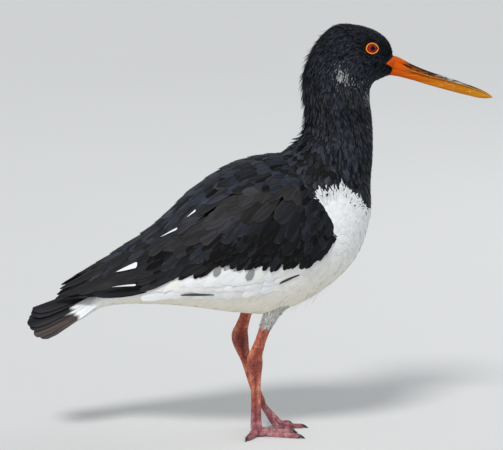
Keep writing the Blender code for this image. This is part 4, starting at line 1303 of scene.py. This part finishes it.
def wing_rows():
    """Every row of a folded wing's feathers in side view, from the lowest layer to the highest."""
    rows = {}
    white = (1.0, 0.8, 0.04)
    dark = (0.0, 0.05, 0.25)
    brown = (0.0, 0.5, 0.75)
    band = [(16, 112), *WING_EDGE[3:-2]]
    add_row(rows, SOFT, band, 15, (30, 14), (26, 46), (11, 14), -3.3, -2.5, white, loose=4)
    path = [(x + 1, z + 6) for x, z in band]
    add_row(rows, SOFT, path, 15, (34, 16), (24, 40), (10, 13), -2.9, -2.1, white, loose=4)
    path = [(x, z + 11) for x, z in band[1:-1]]
    add_row(rows, SOFT, path, 12, (30, 20), (18, 30), (9, 12), -2.5, -1.7, white)

    under = [(-143, 104.5), (-138, 107.5), (-130, 112), (-120, 118)]
    add_row(rows, BLADE, under, 5, (18, 30), (60, 50), 13, -3.0, -2.0, (0, 0.15, 0.3), ease=0)
    primaries = [(-147.5, 101), (-143, 101), (-137, 102), (-129, 103.5), (-119, 105.5)]
    add_row(rows, BLADE, primaries, 6, (13, 11), (56, 44), 9.5, -2.2, -0.7, (0, 0.2, 0.2), ease=0, roll=0.5)
    greater = [(-86, 110), (-88, 115), (-88, 121), (-87, 127), (-82, 134), (-76, 140)]
    add_row(rows, BLADE, greater, 8, (28, 40), (52, 46), 10.5, -1.5, -0.3, (0, 0.35, 0.5), ease=0.5, roll=0.5)

    spots = [(-32, 122), (-9, 119)]
    add_row(rows, SOFT, spots, 2, 62, 9, 5.5, -1.9, -1.3, (0.42, 0.3, 0.2), ease=0)
    # Two thin dark slivers near the wing's lower edge are painted shadow: the shadow lines under the white
    # band's feathers.
    shadow_slits = [(-57, 107), (14, 115.5)]
    add_row(rows, SOFT, shadow_slits, 2, (4, 20), (22, 15), 1.9, -2.2, -1.5, (0.06, 0.4, 0.2), ease=0, roll=0.3)

    edge = np.array(BLACK_EDGE, float)
    for k in range(5):
        path = [(x + 1.3 * k, z + 5.2 * k) for x, z in edge[3:]]
        low, high = -1.9 + 0.3 * k, -1.0 + 0.3 * k
        count, ways = 36 - k, (72, 38)
        add_row(rows, SOFT, path, count, ways, (17, 24), (5, 7.5), low, high, dark, 2.2, roll=0.2, loose=6)
    for k in range(3):
        path = [(x - 5 * k, z + 2 * k) for x, z in edge[:4]]
        add_row(rows, SOFT, path, 7, (60, 70), 16, 7, -1.2 + 0.3 * k, -0.3 + 0.3 * k, dark, loose=6)

    rear = [(-46, 124), (-56, 123), (-68, 120), (-79, 116)]
    add_row(rows, ROUND, rear, 6, (46, 36), (34, 44), (10, 11), -1.0, -0.3, (0, 0.25, 0.4), 3.0, roll=0.3)
    path = [(x + 8, z + 10) for x, z in rear]
    add_row(rows, ROUND, path, 7, (46, 38), (30, 40), (11, 13), -0.7, 0.1, (0, 0.35, 0.5))
    row_d = [(44, 141), (32, 137), (20, 138), (8, 138), (-5, 140), (-16, 142), (-28, 139), (-40, 131)]
    add_row(rows, SOFT, row_d, 15, (70, 46), (18, 24), (8, 11), -0.6, 0.15, dark, 3.5, roll=0.2, loose=9)
    row_c = [(47, 150), (35, 146), (22, 150), (12, 147), (-1, 148)]
    row_c += [(-11, 152), (-21, 151), (-34, 143), (-46, 136)]
    add_row(rows, ROUND, row_c, 13, (66, 44), (20, 28), (9, 13), -0.5, 0.15, (0, 0.22, 0.25), 5.0, loose=9)
    row_b = [(36, 161), (22, 164), (8, 161), (-6, 163), (-22, 159), (-36, 150), (-52, 142), (-66, 134)]
    soot = (0, 0.38, 0.5)
    add_row(rows, ROUND, row_b, 10, (56, 40), (24, 38), (12, 18), -0.3, 0.4, soot, 7.0, roll=0.2, loose=9)
    row_a = [(28, 173), (16, 176), (2, 175), (-12, 173), (-26, 168), (-40, 157), (-54, 147), (-70, 140)]
    add_row(rows, ROUND, row_a, 12, (46, 36), (26, 42), (11, 16), 0.0, 0.7, brown, 6.0, roll=0.2, loose=8)

    bend = [(38, 186), (40, 176), (42, 166), (45, 157), (47, 148)]
    for k in range(4):
        path = [(x - 5.5 * k, z + 1.5 * k) for x, z in bend]
        low, high = 0.5 - 0.2 * k, 1.0 - 0.2 * k
        add_row(rows, SOFT, path, 10, (50, 62), 16, 7, low, high, (0, 0.25, 0.2), 2.5, loose=9)

    front = [(42, 183), (41, 176), (43, 169), (50, 166.5), (54.5, 159), (55.5, 153)]
    for k in range(2):
        path = [(x + 5.5 * k, z - 0.6 * k) for x, z in front]
        heading = (-25, 4, 30, 62, 66, 62)
        add_row(rows, SOFT, path, 24, heading, 9.5, 3.0, -0.4 - 0.5 * k, 0.6 - 0.5 * k, white, 1.4, loose=9)
    return rows


def mantle_rows(form):
    """The scapulars and mantle: long glossy feathers over the back, from the midline to the wing's edge."""
    s, t = spread(form, mantle_spacing, (-104, 60), (0.0, 1.5))
    edge = wing_angle(s, edge_at(SCAPULAR_EDGE, s))
    keep = (t < edge + 0.02) & (s < 58)
    s, t = s[keep], t[keep]
    count = len(s)
    long = (21 + 0.09 * (50 - s)) * rng.uniform(0.88, 1.12, count)
    way = np.radians(4 + 5 * t / edge[keep] + rng.normal(0, 3.0, count))
    wide = 7.6 + 0.012 * (50 - s)
    marks = row_marks(count, 0, 0.5, 0.15, 0.28)
    low = np.full(count, -0.7)
    high = 1.2 + rng.normal(0, 0.15, count) - 1.0 * step(-s, 70, 110)
    return s, t, *run_of(form, s, t, way, long), wide, low, high, 0.3 * low, 0 * low, marks


def tertial_rows():
    """Six long inner flight feathers, the innermost on top, from under the scapulars to the wing's end."""
    roots = np.array([(-50.0, 171), (-49, 166), (-48, 161), (-47, 156), (-45, 151), (-62, 150)])
    tips = np.array([(-143.5, 106.5), (-138, 103.5), (-130, 105), (-120, 108.5), (-108, 112), (-146, 102.5)])
    high = 1.6 - 0.5 * np.arange(6)
    full = np.ones(6)
    marks = row_marks(6, 0, 0.45, 0.8, 0.06)
    return *laid(roots, tips), 17 * full, high - 1.2, high, 0.3 * full, 0 * full, marks


def fleck_rows():
    """The few small white feathers that show along the wing's edges."""
    roots = np.array([(-58, 154.5), (-45, 167.5), (-87, 128), (-88, 114.2)])
    tips = np.array([(-70, 147), (-51, 162), (-102, 121.5), (-105, 111.5)])
    wide = np.array([1.7, 1.8, 4.2, 1.3])
    full = np.ones(4)
    marks = row_marks(4, 1, 0.9, 0, 0)
    return *laid(roots, tips), wide, 1.5 * full, 2.1 * full, 0 * full, 0 * full, marks


def make_wing(label):
    """One folded wing: a thin dark shell just under its form, white below, and its feathers in rows."""
    side = SIDES[label]
    form = make_wing_form(side)
    s = np.linspace(-138, 50, 120)
    top = wing_angle(s, edge_at(SCAPULAR_EDGE, s) + 8)
    foot = wing_angle(s, edge_at(WING_EDGE, s) + 4)
    share = np.linspace(0, 1, 40)
    t = top[:, None] * (1 - share) + foot[:, None] * share
    point, normal, _, _ = form.at(s[:, None], t)
    outer, inner = (point - normal * depth for depth in SHELL_DEPTHS)
    rings = np.concatenate([outer, inner[:, ::-1]], axis=1)
    points, quads, tris = capped_grid(rings)
    below = edge_at(BLACK_EDGE, points[:, 0]) + 2 - points[:, 2]
    pale = step(below, -1.5, 1.5) * (points[:, 0] > -92)
    marks = np.stack([pale, np.full(len(points), 0.4), np.full(len(points), 0.2)], -1)
    flat = np.full((len(points), 2), 0.5)
    shell = add_mesh("wing_base_" + label, points, quads, tris, {"Vane": flat}, {"Plumage": marks})
    finish_piece(shell, plume, "black_feathers", "wing_" + label)
    rows = wing_rows()
    rows[BLADE].append(tertial_rows())
    rows[ROUND].append(mantle_rows(form))
    rows[SLIVER] = [fleck_rows()]
    for cut, sets in rows.items():
        s, t, ds, dt, wide, low, high, roll, bend, marks = (np.concatenate(v) for v in zip(*sets))
        kind = {ROUND: "coverts", SOFT: "lesser_coverts", BLADE: "flight", SLIVER: "flecks"}[cut]
        placed = (s, t, ds, dt, wide, low, high, marks)
        piece = grow(f"{kind}_{label}", form, cut, *placed, bend=bend, roll=roll * side)
        nodes = [f"primaries_{label}", f"tertials_{label}"] if cut is BLADE else []
        finish_piece(piece, flight if cut is BLADE else plume, "black_feathers", *nodes)


# The tail

TAIL_ROOT = (-108.0, 113.5)
TAIL_TIP = (-166.5, 87.5)
TAIL_HALF_WIDTH = (15.0, 23.0)
TAIL_DROP = (10.0, 15.0)


def make_tail_form():
    """The tail's upper surface, a shallow roof. s is distance from its root, t is -1 right and 1 left."""
    run = math.hypot(TAIL_TIP[0] - TAIL_ROOT[0], TAIL_TIP[1] - TAIL_ROOT[1])
    s = np.linspace(-30, run + 8, 90)
    t = np.linspace(-1.15, 1.15, 81)
    share = (s / run)[:, None]
    ends = (TAIL_HALF_WIDTH, TAIL_DROP, *zip(TAIL_ROOT, TAIL_TIP))
    wide, drop, x, z = (root + (tip - root) * share for root, tip in ends)
    points = np.stack([x + 0 * t, t * wide, z - drop * np.abs(t) ** 1.5], -1)
    return Form(s, t, points, wraps=False), run


def make_tail():
    """Twelve tail feathers, white at the root and black towards the tip, the middle pair on top."""
    form, run = make_tail_form()
    order = np.arange(12)
    half = np.array([0.09, 0.22, 0.47, 0.60, 0.86, 1.0])
    share = np.concatenate([-half[::-1], half])
    rank = np.abs(share)
    s = np.full(12, -16.0)
    t = share * 0.45
    shorter = np.interp(rank, half, (5.0, 3.5, 0.0, 1.5, 4.5, 9.0))
    ds = run + 17 - shorter
    dt = share * 0.93 - t
    high = np.interp(rank, half, (3.8, 2.6, 0.6, -0.8, -2.3, -3.3))
    low = -0.6 - 1.7 * rank

    def marks(a, b):
        """White, tone and brown at a along and b across each feather."""
        base = 0.36 + 0.22 * step(rank, 0.2, 0.55)[:, None] + 0.025 * np.sin(b * 9 + order[:, None])
        white = 1 - step(a, base - 0.005, base + 0.005)
        brown = (1 - white) * (0.2 + 0.7 * step(rank, 0.5, 0.8)[:, None])
        tone = 0.25 + 0.45 * step(rank, 0.5, 0.8)[:, None] + 0.6 * white
        return np.clip(np.stack([white, tone, brown], -1), 0, 1)

    roll = np.where(share > 0, 1.0, -1.0) * 0.15
    piece = grow("tail_feathers", form, RECTRIX, s, t, ds, dt, 12.5, low, high, marks, roll=roll)
    finish_piece(piece, tail_look, "black_feathers", "tail")


# The bill

def make_bill(upper):
    """One half of the bill, from its base inside the face to its tip. The upper has a groove and nostrils."""
    rows = np.array(BILL_SECTIONS, float)
    along = np.linspace(0, 1, 150) ** 1.08
    x = rows[0, 0] + (rows[-1, 0] - rows[0, 0]) * along
    culmen, mouth, below, half = np.moveaxis(smooth_through(rows[:, 0], rows[:, 1:], x), -1, 0)
    half = np.maximum(half, 0.35)
    flare = 0.5 * bump(x, 93, 4)
    points_round, gap, curve, flared, wide = (49, 0.05, 0.95, 1, 1) if upper else (41, -0.12, 1.1, 0.6, 0.93)
    angle = np.linspace(-math.pi / 2, math.pi / 2, points_round)
    crest, edge = culmen if upper else below, mouth + gap
    share = np.cos(angle)[None, :] ** curve
    rise = share * (crest - edge)[:, None]
    y = power(np.sin(angle), 0.72)[None, :] * (half + flare * flared)[:, None] * wide
    if upper:
        reach = step(x, 94, 98) * (1 - step(x, 122, 134))
        groove = reach[:, None] * bump(share, 0.60, 0.17)
        slit = (step(x, 98.6, 100) * (1 - step(x, 108, 110)))[:, None] * bump(share, 0.60, 0.06)
        y = y - np.sign(y) * np.minimum(0.55 * groove + 0.9 * slit, np.abs(y) * 0.6)
    z = edge[:, None] + rise
    skin = np.stack([np.broadcast_to(x[:, None], z.shape), y, z], -1)
    inner = skin[:, -2:0:-1].copy()
    floor = 0.35 if upper else -0.35
    arch = 1 - (inner[..., 1] / half[:, None]) ** 2
    inner[..., 2] = edge[:, None] + floor * np.clip(half, 0.2, 1)[:, None] * arch
    rings = np.concatenate([skin, inner], axis=1)
    points, quads, tris = capped_grid(rings)
    top = np.concatenate([np.broadcast_to(share, z.shape), np.zeros(inner.shape[:2])], axis=1)
    far = np.broadcast_to(((x - HORN_START) / (rows[-1, 0] - HORN_START))[:, None], top.shape)
    horn = np.stack([far, top * upper, np.full(top.shape, 1.0 - upper)], -1)
    horn = np.concatenate([horn.reshape(-1, 3), horn[0, :1], horn[-1, :1]])
    name = "bill_upper" if upper else "bill_lower"
    made = add_mesh(name, points, quads, tris, colours={"Horn": np.clip(horn, 0, 1)}, smooth=50)
    finish_piece(made, horn_finish, "bill_orange", name)


# Eyes, eye rings and claws

def make_eye(label):
    """An eyeball with a low bulge over the iris: rings round its outward axis from front to back pole."""
    centre, out, forward, up = eye_frame(SIDES[label])
    polar = np.linspace(0, math.pi, 72)[1:-1, None]
    turn = np.linspace(0, 2 * math.pi, 64, endpoint=False)[None, :]
    bulge = CORNEA_BULGE * (1 - step(EYE_RADIUS * np.sin(polar), 0.6, 3.7)) * (polar < math.pi / 2)
    radius = EYE_RADIUS + bulge
    away = radius * np.sin(polar)
    flat = np.stack([away * np.cos(turn), away * np.sin(turn)], -1)
    points = centre + (radius * np.cos(polar))[..., None] * out
    points = points + flat[..., :1] * forward + flat[..., 1:] * up
    mesh, quads, tris = capped_grid(points)
    mesh[-2], mesh[-1] = centre + (EYE_RADIUS + CORNEA_BULGE) * out, centre - EYE_RADIUS * out
    share = np.where(polar < math.pi / 2, away / IRIS_RADIUS, 1.5) + 0 * turn
    iris = np.stack([share, flat[..., 0] / 8 + 0.5, flat[..., 1] / 8 + 0.5], -1).reshape(-1, 3)
    iris = np.concatenate([iris, [[0, 0.5, 0.5], [1.5, 0.5, 0.5]]])
    made = add_mesh("eye_" + label, mesh, quads, tris, colours={"Iris": iris}, smooth=180)
    finish_piece(made, eye_look, "eye_red", "eye_" + label)


def make_eye_ring(label):
    """The bare ring of skin round the eye: a tube whose radius swells to a small point in front."""
    centre, out, forward, up = eye_frame(SIDES[label])
    turn = np.linspace(0, 2 * math.pi, 96, endpoint=False)[:, None]
    round_tube = np.linspace(0, 2 * math.pi, 18, endpoint=False)[None, :]
    middle = centre + out * math.sqrt((EYE_RADIUS + 0.3) ** 2 - (EYE_RING_RADIUS - 0.31) ** 2)
    front = np.exp(-((np.angle(np.exp(1j * turn)) / 0.24) ** 2))
    rear = np.exp(-((np.angle(np.exp(1j * (turn - 3.45))) / 0.35) ** 2))
    radius = EYE_RING_RADIUS * (1 - 0.13 * np.sin(turn) ** 2) + 0.5 * front + 0.25 * rear
    thick = 0.54 * (1 + 0.04 * np.sin(turn * 23)) * (1 - 0.25 * front)
    away = radius + thick * 0.85 * np.cos(round_tube)
    height = thick * 0.75 * np.sin(round_tube) - 0.25 * front
    points = middle + away[..., None] * (np.cos(turn)[..., None] * forward + np.sin(turn)[..., None] * up)
    points = points + height[..., None] * out
    quads = grid_faces(*points.shape[:2], looped=True)
    made = add_mesh("eye_ring_" + label, points, quads, smooth=180)
    finish_piece(made, ring_look, "eye_ring_orange", "eye_ring_" + label)


def make_claw(label, toe):
    """A claw: a tapering tube that leaves the toe's end and bends down, kept above the floor."""
    foot = FEET[label]
    heading, length = foot["toes"][toe]
    line, way = toe_line(foot, heading, length, 90)
    share = np.linspace(0, 1, 26)
    bend = np.radians(CLAW_BEND) * share
    ahead, down = (np.cumsum([0, *wave(bend[1:]) * CLAW_LENGTH / 25]) for wave in (np.cos, np.sin))
    base = line[-1, :3] - np.array([*way, 0]) + np.array([0, 0, 0.55])
    radius = (1.35 * (1 - share) ** 0.75 + 0.14)[:, None]
    middle = base + ahead[:, None] * np.array([*way, 0]) - down[:, None] * np.array([0, 0, 1.0])
    angle = np.linspace(0, 2 * math.pi, 20, endpoint=False)[None, :]
    side = np.array([-way[1], way[0], 0])
    up = np.stack([way[0] * np.sin(bend), way[1] * np.sin(bend), np.cos(bend)], -1)
    keel = 1 - 0.25 * step(-np.sin(angle), 0.2, 1)
    points = middle[:, None] + (radius * np.cos(angle) * 0.85)[..., None] * side
    points = points + (radius * np.sin(angle) * keel)[..., None] * up[:, None]
    points[..., 2] = np.maximum(points[..., 2], 0.03)
    made = add_mesh(f"claw_{toe}_{label}", *capped_grid(points), smooth=180)
    finish_piece(made, claw_look, "claw_black", f"claw_{toe}_{label}")


make_skin()
make_body_coat()
make_spur()
make_wisps()
for label in SIDES:
    make_wing(label)
make_tail()
horn_finish = bill_finish()
for label in SIDES:
    make_gape(label)
make_bill(upper=True)
make_bill(upper=False)
eye_look = eye_finish()
ring_look = eye_ring_finish()
claw_look = claw_finish()
for label in SIDES:
    make_eye(label)
    make_eye_ring(label)
    for toe in FEET[label]["toes"]:
        make_claw(label, toe)


# Floor, light and camera

FLOOR_HALF = 60.0  # metres
LAMP_TARGET = Vector((-0.005, 0, 0.15))
KEY_WIDTH = math.radians(14)


def add_floor():
    """The plain pale floor, far wider than any view."""
    floor = bpy.data.meshes.new("floor")
    corners = [(x * FLOOR_HALF, y * FLOOR_HALF, 0) for x, y in ((-1, -1), (1, -1), (1, 1), (-1, 1))]
    floor.from_pydata(corners, [], [(0, 1, 2, 3)])
    made = bpy.data.objects.new("floor", floor)
    made.data.materials.append(floor_finish())
    bpy.context.scene.collection.objects.link(made)


def aim(lamp, place):
    """Puts a lamp at a place in metres, facing the bird's middle."""
    lamp.location = place
    to = LAMP_TARGET - Vector(place)
    lamp.rotation_euler = to.to_track_quat("-Z", "Y").to_euler()
    bpy.context.scene.collection.objects.link(lamp)


def add_sun(name, place, width, energy):
    """A wide sun from the direction of a place. It lights the floor evenly all the way out."""
    data = bpy.data.lights.new(name, "SUN")
    data.angle, data.energy = width, energy
    aim(bpy.data.objects.new(name, data), place)


def add_panel(name, place, size, energy, colour):
    """A square area light."""
    data = bpy.data.lights.new(name, "AREA")
    data.shape, data.size, data.energy, data.color = "SQUARE", size, energy, colour
    aim(bpy.data.objects.new(name, data), place)


def add_world():
    """Soft light from all round. The camera sees a plain backdrop of the floor's tone in its place."""
    world = bpy.data.worlds.new("studio")
    world.use_nodes = True
    nodes, links = world.node_tree.nodes, world.node_tree.links
    soft, backdrop = nodes["Background"], nodes.new("ShaderNodeBackground")
    soft.inputs["Color"].default_value = (0.86, 0.9, 0.95, 1)
    soft.inputs["Strength"].default_value = 0.50
    backdrop.inputs["Color"].default_value = (0.665, 0.68, 0.69, 1)
    seen, choice = nodes.new("ShaderNodeLightPath"), nodes.new("ShaderNodeMixShader")
    links.new(seen.outputs["Is Camera Ray"], choice.inputs["Fac"])
    links.new(soft.outputs["Background"], choice.inputs[1])
    links.new(backdrop.outputs["Background"], choice.inputs[2])
    links.new(choice.outputs["Shader"], nodes["World Output"].inputs["Surface"])
    bpy.context.scene.world = world


def add_camera():
    """The photo's camera: level across, tilted down, far away with a long lens."""
    data = bpy.data.cameras.new("camera")
    data.sensor_width = SENSOR
    data.lens = SENSOR * VIEW_DISTANCE / VIEW_SCALE / FRAME_WIDTH
    data.clip_end = 100.0
    camera = bpy.data.objects.new("camera", data)
    x, y, z = VIEW_TARGET
    y -= VIEW_DISTANCE * math.cos(VIEW_PITCH)
    z += VIEW_DISTANCE * math.sin(VIEW_PITCH)
    camera.location = (x * MM, y * MM, z * MM)
    camera.rotation_euler = (math.pi / 2 - VIEW_PITCH, 0, 0)
    bpy.context.scene.collection.objects.link(camera)
    bpy.context.scene.camera = camera


add_floor()
add_sun("key", (-0.35, -1.2, 1.5), KEY_WIDTH, 1.9)
add_panel("fill", (1.4, 0.9, 1.1), 1.4, 8.0, (0.95, 0.97, 1.0))
add_panel("bounce", (-0.6, -1.3, 0.12), 1.0, 4.0, (1.0, 0.96, 0.88))
add_camera()
add_world()
bpy.context.scene.view_settings.view_transform = "Standard"
